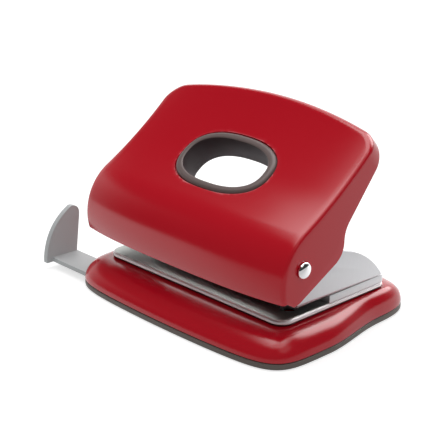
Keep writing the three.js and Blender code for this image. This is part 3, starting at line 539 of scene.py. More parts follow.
paper_stop = sheet_blank("paper_stop_zinc", -plate_half, plate_half, stop_front, plate_back,
                         plate_top, web_bottom, 0, plate_rear_corner)
soften(paper_stop, 0.2, 3)
smooth(paper_stop)

zinc_steel = brushed_metal("zinc-plated steel", (0.60, 0.60, 0.615), 0.42, (900, 900, 120), 0.002)
finish_piece(paper_stop, zinc_steel, "base", "zinc_steel", "paper_stop")


# Frame. One piece of zinc-plated sheet, folded up at both ends. Its web bridges the throat and carries the
# punches; each cheek rises in an arc to a rounded boss that holds a pivot pin.
sheet = 1.5
web_top = web_bottom + sheet
frame_front = -19.5
cheek_outer = 48.8
fold_radius = 1.6
pivot_y = -23.0
pivot_z = 34.2
boss_radius = 6.0
hub_y = -5.2
hub_z = -2.9
hub_radius = 36.4
pin_hole = 2.3
bush_radius = 3.8


def touching_angle(a, radius_a, b, radius_b, side):
    """The angle of the normal that a line shares with two circles that it touches on the same side."""
    between = Vector(b) - Vector(a)
    return math.atan2(between.y, between.x) + side * math.acos((radius_a - radius_b) / between.length)


def arc(centre, radius, start, end, steps=40):
    turns = [start + (end - start) * k / steps for k in range(steps + 1)]
    return [(centre[0] + radius * math.cos(t), centre[1] + radius * math.sin(t)) for t in turns]


def drilled(piece, radius, y, z, reach=80):
    """Drills through a piece along X."""
    drill = upright("drill", radius, 0, 0, -reach, reach)
    drill.data.transform(Matrix.Rotation(math.pi / 2, 4, "Y"))
    drill.data.transform(Matrix.Translation(Vector((0, y, z)) * mm))
    cut(piece, drill)


pivot, hub = (pivot_y, pivot_z), (hub_y, hub_z)
middle_z = web_bottom + sheet / 2
front_angle = touching_angle((frame_front, middle_z), 0, pivot, boss_radius, 1)
top_angle = touching_angle(pivot, boss_radius, hub, hub_radius, 1)
rear_angle = math.asin((middle_z - hub_z) / hub_radius)
cheek_line = [(frame_front, middle_z)]
cheek_line += arc(hub, hub_radius, rear_angle, top_angle, 60)
cheek_line += arc(pivot, boss_radius, top_angle, front_angle, 30)
count = len(cheek_line)
cheek_x = cheek_outer - sheet / 2
frame_points = [(sign * cheek_x, y, z) for sign in (-1, 1) for y, z in cheek_line]
frame_faces = [tuple(range(count)), tuple(range(2 * count - 1, count - 1, -1)), (0, count, count + 1, 1)]
frame_piece = from_faces("frame_folded", frame_points, frame_faces)
activate(frame_piece)
bpy.ops.object.mode_set(mode="EDIT")
pick(frame_piece, "EDGE", lambda ends: abs(ends[0].x - ends[1].x) < gap
     and all(abs(end.z - middle_z) < 0.01 for end in ends))
bpy.ops.mesh.bevel(offset=fold_radius * mm, segments=8, affect="EDGES")
bpy.ops.object.mode_set(mode="OBJECT")
face_outwards(frame_piece)
wall = frame_piece.modifiers.new("sheet", "SOLIDIFY")
wall.thickness = sheet * mm
wall.offset = 0
apply_modifiers(frame_piece)
drilled(frame_piece, pin_hole, pivot_y, pivot_z)
pierce(frame_piece, bush_radius + gap, punch_places, web_bottom, web_top)
soften(frame_piece, 0.18, 3, 50)
smooth(frame_piece)
finish_piece(frame_piece, zinc_steel, "base", "zinc_steel", "frame")


# Frame rivets. Four turned rivets with low domed heads clamp frame, paper stop and die plate onto the
# cover.
rivet_head = 3.2
rivet_shank = 1.8
rivet_rise = 1.1
rivet_x = 32.0
rivet_rows = (("front", 3.6), ("rear", 20.6))


def turned(name, profile, sides=56):
    """A turned piece: radius and height pairs, spun round the Z axis."""
    points = [(radius, 0, height) for radius, height in profile]
    piece = from_faces(name, points, [], [(i, i + 1) for i in range(len(points) - 1)])
    activate(piece)
    bpy.ops.object.mode_set(mode="EDIT")
    bpy.ops.mesh.select_all(action="SELECT")
    bpy.ops.mesh.spin(steps=sides, angle=2 * math.pi, center=(0, 0, 0), axis=(0, 0, 1))
    bpy.ops.object.mode_set(mode="OBJECT")
    return face_outwards(piece)


def dome(radius, low, rise, steps=8):
    """Radius and height pairs of a low dome, from its rim in to its top."""
    turns = [math.pi / 2 * k / steps for k in range(steps + 1)]
    return [(radius * math.cos(t), low + rise * math.sin(t)) for t in turns[:-1]] + [(0, low + rise)]


def copied(piece, name, offset):
    twin = piece.copy()
    twin.data = piece.data.copy()
    twin.name = name
    bpy.context.collection.objects.link(twin)
    twin.data.transform(Matrix.Translation(Vector(offset) * mm))
    return twin


rivet = turned("rivet", [
    (0, deck_under - rivet_rise), (rivet_head - 0.2, deck_under - rivet_rise), (rivet_head, deck_under - 0.9),
    (rivet_head, deck_under), (rivet_shank, deck_under), (rivet_shank, web_top),
    *dome(rivet_head, web_top, rivet_rise)])
smooth(rivet)
plain_steel = brushed_metal("bright steel", (0.66, 0.655, 0.65), 0.22, (900, 900, 900), 0.002)
for row, y in rivet_rows:
    for side, sign in both_sides:
        node = f"frame_rivet_{row}_{side}"
        placed = copied(rivet, f"{node}_domed", (sign * rivet_x, y, 0))
        finish_piece(placed, plain_steel, "base", "polished_steel", node)
bpy.data.objects.remove(rivet)


# Punches. Each is a hardened pin with a V ground into its tip, in a flanged guide bush pressed into the
# web. A clip in its groove sits on the return spring, which lifts it back under the handle's presser bar.
clip_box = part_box("spring_clip_left")
bush_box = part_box("punch_guide_left")
spring_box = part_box("punch_spring_left")
punch_radius = 2.75
punch_tip = 17.0
punch_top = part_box("punch_left")[1].z / mm
groove_top = punch_top - 1.05
groove_height = 1.1
groove_depth = 0.65
clip_top = clip_box[1].z / mm
clip_thickness = 0.8
clip_radius = (clip_box[1].y - clip_box[0].y) / 2 / mm
bush_flange = (bush_box[1].y - bush_box[0].y) / 2 / mm
bush_top = bush_box[1].z / mm
spring_low = spring_box[0].z / mm
spring_high = spring_box[1].z / mm
spring_wire = 0.9
spring_radius = (spring_box[1].y - spring_box[0].y) / 2 / mm - spring_wire / 2
spring_turns = 6.5

core = punch_radius - groove_depth
punch = turned("punch", [
    (0, punch_tip), (punch_radius, punch_tip), (punch_radius, groove_top - groove_height),
    (core, groove_top - groove_height), (core, groove_top), (punch_radius, groove_top),
    (punch_radius, punch_top - 0.3), (punch_radius - 0.3, punch_top), (0, punch_top)])
bpy.ops.mesh.primitive_cylinder_add(vertices=3, radius=1, depth=1)
wedge = bpy.context.object
wedge.data.transform(Matrix.Diagonal((2.6 * mm, 1.3 * mm, 10 * mm, 1)))
wedge.data.transform(Matrix.Rotation(math.pi / 2, 4, "X") @ Matrix.Rotation(math.pi / 2, 4, "Z"))
wedge.data.transform(Matrix.Translation((0, 0, (punch_tip - 0.1) * mm)))
cut(punch, wedge)
smooth(punch)
bore = punch_radius + gap
bush = turned("bush", [
    (bore, web_bottom), (bush_radius, web_bottom), (bush_radius, web_top), (bush_flange, web_top),
    (bush_flange, web_top + 0.85), (bush_flange - 0.15, web_top + 1), (bush_radius + 0.3, web_top + 1),
    (bush_radius, web_top + 1.3), (bush_radius, bush_top - 0.25), (bush_radius - 0.25, bush_top),
    (bore + 0.2, bush_top), (bore, bush_top - 0.2), (bore, web_bottom)])
smooth(bush)
clip_bore = core + 0.15
clip_bottom = clip_top - clip_thickness
clip = turned("clip", [
    (clip_bore, clip_bottom), (clip_radius, clip_bottom), (clip_radius, clip_top), (clip_bore, clip_top),
    (clip_bore, clip_bottom)])
cut(clip, block("clip_mouth", (0, -core, clip_top - 2), (10, core, clip_top + 2)))
soften(clip, 0.12)
smooth(clip)


def coil(name, radius, wire, low, high, turns, steps=28, sides=12):
    """A round wire wound into a spring, its first and last turns closed down flat."""
    flat, count = 0.85, int(turns * steps)
    free = high - low - wire
    points, faces = [], []

    def rise(turn):
        closed = wire * 1.02
        if turn < flat:
            return closed * turn
        if turn > turns - flat:
            return free - closed * (turns - turn)
        inner_free = free - 2 * closed * flat
        return closed * flat + inner_free * (turn - flat) / (turns - 2 * flat)

    line = []
    for i in range(count + 1):
        turn = turns * i / count
        angle = 2 * math.pi * turn
        line.append(Vector((radius * math.cos(angle), radius * math.sin(angle), low + wire / 2 + rise(turn))))
    for i, point in enumerate(line):
        ahead = (line[min(i + 1, count)] - line[max(i - 1, 0)]).normalized()
        out = Vector((point.x, point.y, 0)).normalized()
        upwards = ahead.cross(out).normalized()
        for k in range(sides):
            angle = 2 * math.pi * k / sides
            points.append(point + (out * math.cos(angle) + upwards * math.sin(angle)) * wire / 2)
    for i in range(count):
        for k in range(sides):
            n = (k + 1) % sides
            faces.append((i * sides + k, i * sides + n, (i + 1) * sides + n, (i + 1) * sides + k))
    faces.append(tuple(range(sides)))
    faces.append(tuple(range(count * sides, (count + 1) * sides)))
    return face_outwards(from_faces(name, points, faces))


spring = coil("spring", spring_radius, spring_wire, spring_low, spring_high, spring_turns)
smooth(spring, 60)
dark_steel = grained("dark spring steel", (0.23, 0.235, 0.24), 0.3, 1.0, grain=1400.0, depth=0.004,
                     color_change=0.2, wear_and_highlight=0.4, wear_and_highlight_color=(0.55, 0.55, 0.55))
for side, sign in both_sides:
    offset = (sign * punch_spacing / 2, punch_y, 0)
    finish_piece(copied(punch, f"punch_{side}_ground", offset), plain_steel, f"punch_{side}",
                 "polished_steel", f"punch_{side}")
    finish_piece(copied(bush, f"punch_guide_{side}_turned", offset), dark_steel, "base", "dark_steel",
                 f"punch_guide_{side}")
    finish_piece(copied(clip, f"spring_clip_{side}_stamped", offset), dark_steel, f"punch_{side}",
                 "dark_steel", f"spring_clip_{side}")
    wound = copied(spring, f"punch_spring_{side}_wound", offset)
    finish_piece(wound, plain_steel, "base", "polished_steel", f"punch_spring_{side}")
    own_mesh(wound)
for pattern in (punch, bush, clip, spring):
    bpy.data.objects.remove(pattern)


# Handle shell. A hollow pressing in red paint: its front wraps round the pivot in a tight nose, then runs
# up and back as one gently hollow slope. Both cheeks and the shallow rear rim turn down over a crease. The
# front edge bows out.
handle_half = 53.5
handle_wall = 1.7
nose_y = pivot_y + 11.1
nose_z = pivot_z - 5.1
nose_radius = 20.6
lip_drop = 5.8
slope_start = math.radians(29.1)
slope_end = math.radians(42.7)
slope_radius = 187.0
crown_reach = 6.8
crown_exponent = 1.94
front_bulge = 2.7
bulge_exponent = 2.9
bulge_full, bulge_end = 0.27, 0.65
face_crown = 0.5
rear_crown, rear_crown_growth = 1.0, 3
face_exponent = 5
shell_corner = 9.5
crease_round = 1.3
rear_round = 2.4
inner_round = 0.4
rear_depth = 6.0
cheek_depth = 8.2
toe = (pivot_y - 4.0, pivot_z - 12.6)
heel = (pivot_y - 1.4, pivot_z - 12.0)
knee = (pivot_y + 20.7, pivot_z - 0.3)
waist = (pivot_y + 20.9, pivot_z + 8.7)
heel_radius = 3.0
knee_radius = 8.0
waist_radius = 10.0
shell_rows = 80
shell_columns = 108
round_steps = 7
wall_steps = 10
edge_steps = 200
corner_steps = 24
crown_steps = 60

lip_angle = math.pi + math.asin(lip_drop / nose_radius)
nose_end = math.pi / 2 + slope_start
nose_length = nose_radius * (lip_angle - nose_end)
slope_length = slope_radius * (slope_end - slope_start)
profile_length = nose_length + slope_length
nose_centre = Vector((nose_y, nose_z))


def pointing(angle):
    return Vector((math.cos(angle), math.sin(angle)))


slope_centre = nose_centre + pointing(nose_end) * (nose_radius + slope_radius)


def profile_at(length, depth):
    """The handle's side profile at an arc length from its lower front edge, sunk by a depth, and its
    normal."""
    if length <= nose_length:
        normal = pointing(lip_angle - length / nose_radius)
        return nose_centre + normal * (nose_radius - depth), normal
    normal = pointing(nose_end + (length - nose_length) / slope_radius)
    return slope_centre - normal * (slope_radius + depth), normal


def shell_point(x, length, depth):
    point, normal = profile_at(length, depth)
    across = min(abs(x) / handle_half, 1)
    fade = smoothstep(length / profile_length, bulge_full, bulge_end)
    forwards = front_bulge * (1 - across ** bulge_exponent) * (1 - fade)
    middle_crown = face_crown + rear_crown * (length / profile_length) ** rear_crown_growth
    crown = middle_crown * (1 - across ** face_exponent)
    return Vector((x, point.x - forwards + normal.x * crown, point.y + normal.y * crown))


def crown_at(x, inset):
    return profile_length - inset + crown_reach * (1 - (abs(x) / handle_half) ** crown_exponent)


def rounded_line(corners, radii, steps=12):
    """A line through corners whose inner ones are rounded."""
    points = [Vector(corners[0])]
    for before, corner, after, radius in zip(corners, corners[1:], corners[2:], radii):
        corner = Vector(corner)
        back, on = (Vector(before) - corner).normalized(), (Vector(after) - corner).normalized()
        half = back.angle(on) / 2
        centre = corner + (back + on).normalized() * radius / math.sin(half)
        start = corner + back * radius / math.tan(half) - centre
        end = corner + on * radius / math.tan(half) - centre
        first = math.atan2(start.y, start.x)
        sweep = (math.atan2(end.y, end.x) - first + math.pi) % (2 * math.pi) - math.pi
        points += [Vector(p) for p in arc(centre, radius, first, first + sweep, steps)]
    return points + [Vector(corners[-1])]


def resampled(points, steps):
    """The line again, with evenly spaced points."""
    lengths = [(b - a).length for a, b in zip(points, points[1:])]
    total, made, i, passed = sum(lengths), [], 0, 0.0
    for k in range(steps + 1):
        wanted = total * k / steps
        while i < len(lengths) - 1 and passed + lengths[i] < wanted:
            passed += lengths[i]
            i += 1
        made.append(points[i].lerp(points[i + 1], min(max((wanted - passed) / lengths[i], 0), 1)))
    return made


def half_edge(inset):
    """Half of the unrolled face's edge: up the side to the middle of the rear corner, from there to the middle
    of the rear, and the length at which the corner starts."""
    half = handle_half - inset
    bend = half - shell_corner + inset
    fall = (crown_at(bend, inset) - crown_at(bend + gap, inset)) / gap
    corner = (half, crown_at(bend, inset) - fall * (half - bend))
    turn = rounded_line([(half, 0), corner, (bend, crown_at(bend, inset))], [shell_corner - inset],
                        corner_steps)
    xs = [bend * (1 - (i + 1) / crown_steps) for i in range(crown_steps)]
    crown = [Vector((x, crown_at(x, inset))) for x in xs]
    middle = 1 + corner_steps // 2
    return turn[:middle + 1], turn[middle:] + crown, turn[1].y


def mirrored(point):
    return Vector((-point.x, point.y))


def side_and_rear(inset):
    side, rear, _ = half_edge(inset)
    rears = resampled([mirrored(p) for p in rear] + rear[-2::-1], shell_columns)
    return resampled(side, shell_rows), rears


def border(inset):
    """The unrolled face's edge at an inset: up the left side, along the rear and down the right side."""
    sides, rears = side_and_rear(inset)
    return [mirrored(p) for p in sides] + rears[1:-1] + sides[::-1]


def face_grid(inset, sunk):
    """The face as rows of points that fill its border at an inset."""
    sides, rears = side_and_rear(inset)
    last = sides[-1]
    points = []
    for side in sides:
        v = side.y / last.y
        for i, rear in enumerate(rears):
            t = 2 * i / shell_columns - 1
            x = t * side.x + v * (rear.x - t * last.x)
            points.append(shell_point(x, side.y + v * (rear.y - last.y), sunk))
    return points


def edge_rings(sunk, side_round, back_round):
    """Rings of points from the face's border over the rounded crease and down the cheeks and the rear rim."""
    corner_start = half_edge(sunk)[2]
    near, far = border(sunk), border(sunk + back_round)
    growth = back_round - side_round
    radii = [side_round + growth * smoothstep(p.y, corner_start, profile_length) for p in near]
    rings = []
    for k in range(round_steps + 1):
        turn = math.pi / 2 * k / round_steps
        ring = []
        for a, b, radius in zip(near, far, radii):
            flat = a.lerp(b, radius * (1 - math.sin(turn)) / back_round)
            ring.append(shell_point(flat.x, flat.y, sunk + radius * (1 - math.cos(turn))))
        rings.append(ring)
    cheek_end, _ = profile_at(corner_start, cheek_depth)
    cheek = rounded_line([toe, heel, knee, waist, cheek_end], [heel_radius, knee_radius, waist_radius])
    cheek = resampled(cheek, edge_steps)
    foot = []
    for p in near:
        if p.y <= corner_start:
            low = cheek[round(p.y / corner_start * edge_steps)]
            foot.append(Vector((p.x, low.x, low.y)))
        else:
            share = min((p.y - corner_start) / (profile_length - corner_start), 1)
            foot.append(shell_point(p.x, p.y, cheek_depth + (rear_depth - cheek_depth) * share))
    shares = [k / wall_steps for k in range(1, wall_steps + 1)]
    return rings + [[a.lerp(b, share) for a, b in zip(rings[-1], foot)] for share in shares]


def shell(name):
    """The shell's outer and inner skins, joined along their free edges."""
    stride = shell_columns + 1
    left = [j * stride for j in range(shell_rows + 1)]
    rear = [shell_rows * stride + i for i in range(1, shell_columns)]
    edge = left + rear + [j + shell_columns for j in left[::-1]]
    points, faces, fronts, feet = [], [], [], []
    skins = ((0, crease_round, rear_round), (handle_wall, inner_round, inner_round))
    for sunk, side_round, back_round in skins:
        start = len(points)
        rings = edge_rings(sunk, side_round, back_round)
        points += face_grid(sunk + back_round, sunk)
        for index, point in zip(edge, rings[0]):
            points[start + index] = point
        for j in left[:-1]:
            for a in range(start + j, start + j + shell_columns):
                faces.append((a, a + 1, a + stride + 1, a + stride))
        now = [start + index for index in edge]
        ends = [(now[0], now[-1])]
        for ring in rings[1:]:
            before, now = now, list(range(len(points), len(points) + len(ring)))
            points += ring
            faces += [(before[k], before[k + 1], now[k + 1], now[k]) for k in range(len(ring) - 1)]
            ends.append((now[0], now[-1]))
        middle = list(range(start + 1, start + shell_columns))
        fronts.append([pair[0] for pair in ends[::-1]] + middle + [pair[1] for pair in ends])
        feet.append(now)
    for outside, inside in (fronts, feet):
        faces += [(outside[k], outside[k + 1], inside[k + 1], inside[k]) for k in range(len(outside) - 1)]
    return face_outwards(from_faces(name, points, faces))


# Finger hole. It goes through the handle's face, with a seat round it for the soft rim.
rim_half = 22.8
rim_reach = 13.5
rim_exponent = 2.44
rim_face = 3.1
rim_wall = 1.6
rim_top = 0.9
rim_round = 1.6
rim_lip_round = 0.6
rim_seat = -0.75
rim_low = -10.0
rim_chamfer = 0.4
rim_edge = 0.15
hole_low, hole_high = -14.0, 12.0
hole_share = 0.375
hole_length = nose_length + slope_length * hole_share
hole_place = shell_point(0, hole_length, 0)
hole_normal = profile_at(hole_length, 0)[1]
hole_tilt = math.atan2(-hole_normal.x, hole_normal.y)
skirt_inset = rim_face - rim_wall


def onto_face(piece):
    """Sets a piece that was made about the origin onto the handle's face, bent to the face's hollow."""
    for vertex in piece.data.vertices:
        vertex.co.z += vertex.co.y ** 2 / (2 * slope_radius * mm)
    piece.data.transform(Matrix.Translation(hole_place * mm) @ Matrix.Rotation(hole_tilt, 4, "X"))
    return piece


def rim_outline(inset):
    return oval(rim_half - inset, inset - rim_reach, rim_reach - inset, rim_exponent, 144)


def hole_column(name, inset, low, high):
    return onto_face(loft(name, [(rim_outline(inset), low), (rim_outline(inset), high)]))


handle = shell("handle_shell_painted")
cut(handle, hole_column("hole", skirt_inset - gap, hole_low, hole_high))
cut(handle, hole_column("seat", -gap, rim_seat, hole_high))
drilled(handle, pin_hole, pivot_y, pivot_z)
soften(handle, 0.25, 2, 50)
smooth(handle, 40)
finish_piece(handle, red_paint, "handle", "red_paint", "handle_shell")

rim_rings = [(rim_face, rim_low + rim_chamfer), (rim_face - rim_chamfer, rim_low),
             (skirt_inset + rim_chamfer, rim_low), (skirt_inset, rim_low + rim_chamfer),
             (skirt_inset, rim_seat + gap), (rim_edge, rim_seat + gap), (0, rim_seat + gap + rim_edge)]
rim_rings += arc((rim_round, rim_top - rim_round), rim_round, math.pi, math.pi / 2, 8)
rim_rings += arc((rim_face - rim_lip_round, rim_top - rim_lip_round), rim_lip_round, math.pi / 2, 0, 8)
rim_skin = [(rim_outline(inset), z) for inset, z in rim_rings]
rim = onto_face(loft("finger_hole_rim_soft", rim_skin, closed=True))
smooth(rim, 50)
rim_plastic = grained("dark rim plastic", (0.105, 0.070, 0.065), 0.46, grain=1500.0, depth=0.02,
                       color_change=0.15)
# The rim's inner wall gets a near-black copy of the rim plastic: painted shade for the dark inside of the
# hole.
rim_wall_painted_shade = grained("rim wall painted shade", (0.022, 0.007, 0.009), 0.60, grain=1500.0, depth=0.02)
finish_piece(rim, rim_plastic, "handle", "soft_plastic", "finger_hole_rim")
rim.data.materials.append(rim_wall_painted_shade)
# Faces that look into the hole take the painted shade material.
hole_axis = Vector((0, hole_normal.x, hole_normal.y))
for face in rim.data.polygons:
    inwards = (hole_place * mm - face.center).dot(face.normal) > 0
    face.material_index = int(inwards and abs(face.normal.dot(hole_axis)) < 0.5)


# Inner lever. A folded steel sheet inside the handle, with an arm at each end that turns on the pivot pin
# and holds the presser bar, which pushes both punches down. Two screws hold its bridge to the shell.
lever_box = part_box("inner_lever")
bar_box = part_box("presser_bar")
lever_outer = lever_box[1].x / mm
lever_sheet = 1.2
bar_eye = Vector((bar_box[0].y + bar_box[1].y, bar_box[0].z + bar_box[1].z)) / 2 / mm
bar_radius = (bar_box[1].z - bar_box[0].z) / 2 / mm
eye_radius = 3.9
lever_boss = 5.0
bridge_front = pivot_y - 1.6
bridge_back = pivot_y + 4.2
bridge_top = pivot_z + 8.6
arm_length = 30.0
arm_depth = 9.0
arm_end = 3.0
lever_screw_x = 25.0
lever_screw_y = pivot_y + 1.3
lever_screw_places = [(sign * lever_screw_x, lever_screw_y) for _, sign in both_sides]
screw_radius = 1.5

under = handle_wall + gap + face_crown
top_start = profile_at(nose_length, under)[0]
top_end = profile_at(nose_length + arm_length, under)[0]
low_end = profile_at(nose_length + arm_length, under + arm_depth)[0]
eye_angle = touching_angle(bar_eye, eye_radius, low_end, 0, -1)
join_angle = touching_angle(pivot, lever_boss, bar_eye, eye_radius, -1)
arm_line = [(bridge_front, bridge_top)]
arm_line += arc(pivot, lever_boss, math.pi, join_angle + 2 * math.pi)
arm_line += arc(bar_eye, eye_radius, join_angle, eye_angle, 10)
arm_line += rounded_line([bar_eye, low_end, top_end, top_start], [arm_end, arm_end])[1:]


def sideways_sheet(name, outline, low, high):
    """A flat shape that stands across X, extruded from one x to another."""
    n = len(outline)
    points = [(x, p[0], p[1]) for x in (low, high) for p in outline]
    faces = [tuple(range(n)), tuple(range(2 * n - 1, n - 1, -1))]
    faces += [(i, (i + 1) % n, n + (i + 1) % n, n + i) for i in range(n)]
    return face_outwards(from_faces(name, points, faces))


lever = sideways_sheet("inner_lever_folded", arm_line, lever_outer - lever_sheet, lever_outer)
cut(lever, sideways_sheet("arm", arm_line, -lever_outer, lever_sheet - lever_outer), "UNION")
cut(lever, block("bridge", (0.1 - lever_outer, bridge_front, bridge_top - lever_sheet),
                 (lever_outer - 0.1, bridge_back, bridge_top)), "UNION")
drilled(lever, pin_hole, pivot_y, pivot_z)
drilled(lever, bar_radius + gap, *bar_eye)
pierce(lever, screw_radius + gap, lever_screw_places, bridge_top - lever_sheet, bridge_top)
soften(lever, 0.15, 2, 50)
smooth(lever)
finish_piece(lever, zinc_steel, "handle", "zinc_steel", "inner_lever")

bar_half = bar_box[1].x / mm
presser_bar = turned("presser_bar_turned", [
    (0, -bar_half), (bar_radius - 0.3, -bar_half), (bar_radius, 0.3 - bar_half), (bar_radius, bar_half - 0.3),
    (bar_radius - 0.3, bar_half), (0, bar_half)])
presser_bar.data.transform(Matrix.Rotation(math.pi / 2, 4, "Y"))
presser_bar.data.transform(Matrix.Translation(Vector((0, *bar_eye)) * mm))
smooth(presser_bar)
finish_piece(presser_bar, plain_steel, "handle", "polished_steel", "presser_bar")

screw_head = 2.8
head_height = 1.2
screw_seat = bridge_top - lever_sheet


def screw(name, top):
    """A pan-head screw with a cross recess, head down at the origin, its shank running up."""
    profile = [(0, -head_height)] + [
        (screw_head * math.sin(t), -head_height * math.cos(t) ** 0.6) for t in (0.5, 0.8, 1.05, 1.3, 1.5)]
    piece = turned(name, profile + [(screw_head, 0), (screw_radius, 0), (screw_radius, top - 0.4),
                                    (screw_radius - 0.4, top), (0, top)], 36)
    for across, along in ((1.5, 0.3), (0.3, 1.5)):
        cut(piece, block("recess", (-across, -along, -head_height - 1), (across, along, -head_height + 0.7)))
    smooth(piece)
    return piece


lever_screw = screw("lever_screw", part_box("lever_screw_left")[1].z / mm - screw_seat)
for side, sign in both_sides:
    placed = copied(lever_screw, f"lever_screw_{side}_crossed",
                    (sign * lever_screw_x, lever_screw_y, screw_seat))
    finish_piece(placed, dark_steel, "handle", "dark_steel", f"lever_screw_{side}")
bpy.data.objects.remove(lever_screw)


# Pivot pins. Chrome heads shine on the handle's cheeks; nylon washers keep the cheeks off the frame.
pin_radius = 2.0
pin_head = 3.0
pin_rise = 1.6
tail_radius = 2.8
tail_height = 0.7
washer_radius = 4.5
head_seat = handle_half + gap
tail_seat = lever_outer - lever_sheet - gap
washer_low = cheek_outer + gap
washer_high = handle_half - handle_wall - gap

pin = turned("pin", [
    (0, tail_seat - tail_height), (tail_radius - 0.2, tail_seat - tail_height),
    (tail_radius, tail_seat - tail_height + 0.2), (tail_radius, tail_seat), (pin_radius, tail_seat),
    (pin_radius, head_seat), (pin_head - 0.15, head_seat), (pin_head, head_seat + 0.15),
    (pin_head, head_seat + 0.35), *dome(pin_head, head_seat + 0.4, pin_rise - 0.4, 14)])
smooth(pin, 50)
washer = turned("washer", [
    (pin_hole, washer_low), (washer_radius, washer_low), (washer_radius, washer_high),
    (pin_hole, washer_high), (pin_hole, washer_low)])
soften(washer, 0.2)
smooth(washer)
chrome = brushed_metal("chrome", (0.93, 0.93, 0.94), 0.05, (300, 300, 300), 0.0005, streak=0.03)
nylon = grained("white nylon", (0.75, 0.74, 0.69), 0.5, color_change=0.05)
for side, sign in both_sides:
    for pattern, tail, material, slot in ((pin, "pin", chrome, "chrome"), (washer, "washer", nylon, "nylon")):
        part = copied(pattern, f"pivot_{tail}_{side}_turned", (0, 0, 0))
        part.data.transform(Matrix.Rotation(sign * math.pi / 2, 4, "Y"))
        part.data.transform(Matrix.Translation(Vector((0, pivot_y, pivot_z)) * mm))
        finish_piece(part, material, "base", slot, f"pivot_{tail}_{side}")
for pattern in (pin, washer):
    bpy.data.objects.remove(pattern)


# Paper guide. One grey moulding: a flat bar that slides in and out on the left, and an upright fin with a
# raked front edge against which the sheet's side is laid. A small step at its inner end stops it.
guide_inner = 18.0
guide_reach = 74.2
fin_thickness = 2.3
fin_height = 21.7
fin_front = guide_y - 3.0
fin_foot = guide_back - 0.4
fin_back = guide_back + 1.8
fin_tip = 4.0

fin_top = guide_bottom + fin_height


def bent(start, handle_point, end, steps=14):
    """A quadratic curve."""
    a, b, c = Vector(start), Vector(handle_point), Vector(end)
    return [a.lerp(b, t).lerp(b.lerp(c, t), t) for t in (k / steps for k in range(1, steps + 1))]


fin_line = [Vector((fin_front, guide_bottom)), Vector((fin_foot, guide_bottom)),
            Vector((fin_back, fin_top - fin_tip))]
fin_line += bent(fin_line[-1], (fin_back, fin_top), (fin_back - fin_tip, fin_top))
fin_line += bent(fin_line[-1], (fin_front + 1.6, guide_bottom + fin_height * 0.72),
                 (fin_front, guide_bottom + fin_height * 0.1))
guide_left = -guide_reach - fin_thickness / 2
paper_guide = sheet_blank("paper_guide_moulded", guide_left, guide_inner, guide_y, guide_back,
                          guide_bottom, guide_top, 0, 0)
cut(paper_guide, sideways_sheet("fin", fin_line, -guide_reach - fin_thickness, -guide_reach), "UNION")
cut(paper_guide, block("catch", (guide_inner - 2, guide_y + 3.1, guide_bottom),
                       (guide_inner, guide_back - 3.1, guide_top + 1.5)), "UNION")
soften(paper_guide, 0.35, 3)
smooth(paper_guide)
grey_plastic = grained("grey plastic", (0.45, 0.47, 0.475), 0.45, grain=1800.0, depth=0.008,
                       color_change=0.03)
finish_piece(paper_guide, grey_plastic, "guide", "grey_plastic", "paper_guide")


# Guide channel. A folded steel strip screwed under the deck, in which the guide's bar slides.
channel_right = 2.0
channel_sheet = 1.0
channel_front = guide_y - gap - channel_sheet
channel_back = guide_back + gap + channel_sheet
channel_lip = 2.5
channel_flange = 9.0
channel_low = guide_bottom - gap - 0.7
channel_roof = guide_top + gap
inside_front, inside_back = channel_front + channel_sheet, channel_back - channel_sheet
channel_line = [
    (channel_front, channel_low), (inside_front + channel_lip, channel_low),
    (inside_front + channel_lip, guide_bottom - gap), (inside_front, guide_bottom - gap),
    (inside_front, channel_roof), (inside_back, channel_roof),
    (inside_back, guide_bottom - gap), (inside_back - channel_lip, guide_bottom - gap),
    (inside_back - channel_lip, channel_low), (channel_back, channel_low),
    (channel_back, deck_under - channel_sheet), (channel_back + channel_flange, deck_under - channel_sheet),
    (channel_back + channel_flange, deck_under), (inside_back, deck_under),
    (inside_back, channel_roof + channel_sheet), (channel_front, channel_roof + channel_sheet)]
channel = sideways_sheet("guide_channel_folded", channel_line, channel_left, channel_right)
channel_screw_places = [channel_left + (channel_right - channel_left) * share for share in (0.25, 0.75)]
channel_screw_y = channel_back + channel_flange / 2
for x in channel_screw_places:
    cut(channel, upright("hole", screw_radius + gap, x, channel_screw_y, deck_under - 3, deck_under + 3))
soften(channel, 0.3)
smooth(channel)
finish_piece(channel, zinc_steel, "base", "zinc_steel", "guide_channel")
channel_seat = deck_under - channel_sheet
channel_screw = screw("channel_screw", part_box("channel_screw_left")[1].z / mm - channel_seat)
for side, x in zip(("left", "right"), channel_screw_places):
    placed = copied(channel_screw, f"channel_screw_{side}_crossed", (x, channel_screw_y, channel_seat))
    finish_piece(placed, dark_steel, "base", "dark_steel", f"channel_screw_{side}")
bpy.data.objects.remove(channel_screw)


# Studio. A white table and, behind the punch as the camera sees it, a white backdrop; matt pieces get an
# even light from all round and from a soft lamp overhead. Glossy ones mirror a dark room with a pale
# ceiling and three softboxes.
table_color = (0.62, 0.62, 0.62)
table_glow, mirrored_glow = 0.62, 0.75
table_lit, table_dark = 0.03, -0.12
backdrop_level = 1.5
room_level = 0.04
even_level = 0.62
softboxes = (((0.07, 0.79, 0.61), 7.0), ((-0.50, 0.50, 0.70), 1.6), ((0.66, -0.08, 0.74), 0.8))
softbox_inner, softbox_outer = 0.975, 0.91
backdrop_towards = (-0.73, 0.68, 0.0)
backdrop_near, backdrop_far = 0.80, 0.08
backdrop_top, ceiling_low = 0.43, 0.55
panel_level = 2.6
panel_start, panel_edge = 0.80, 0.90


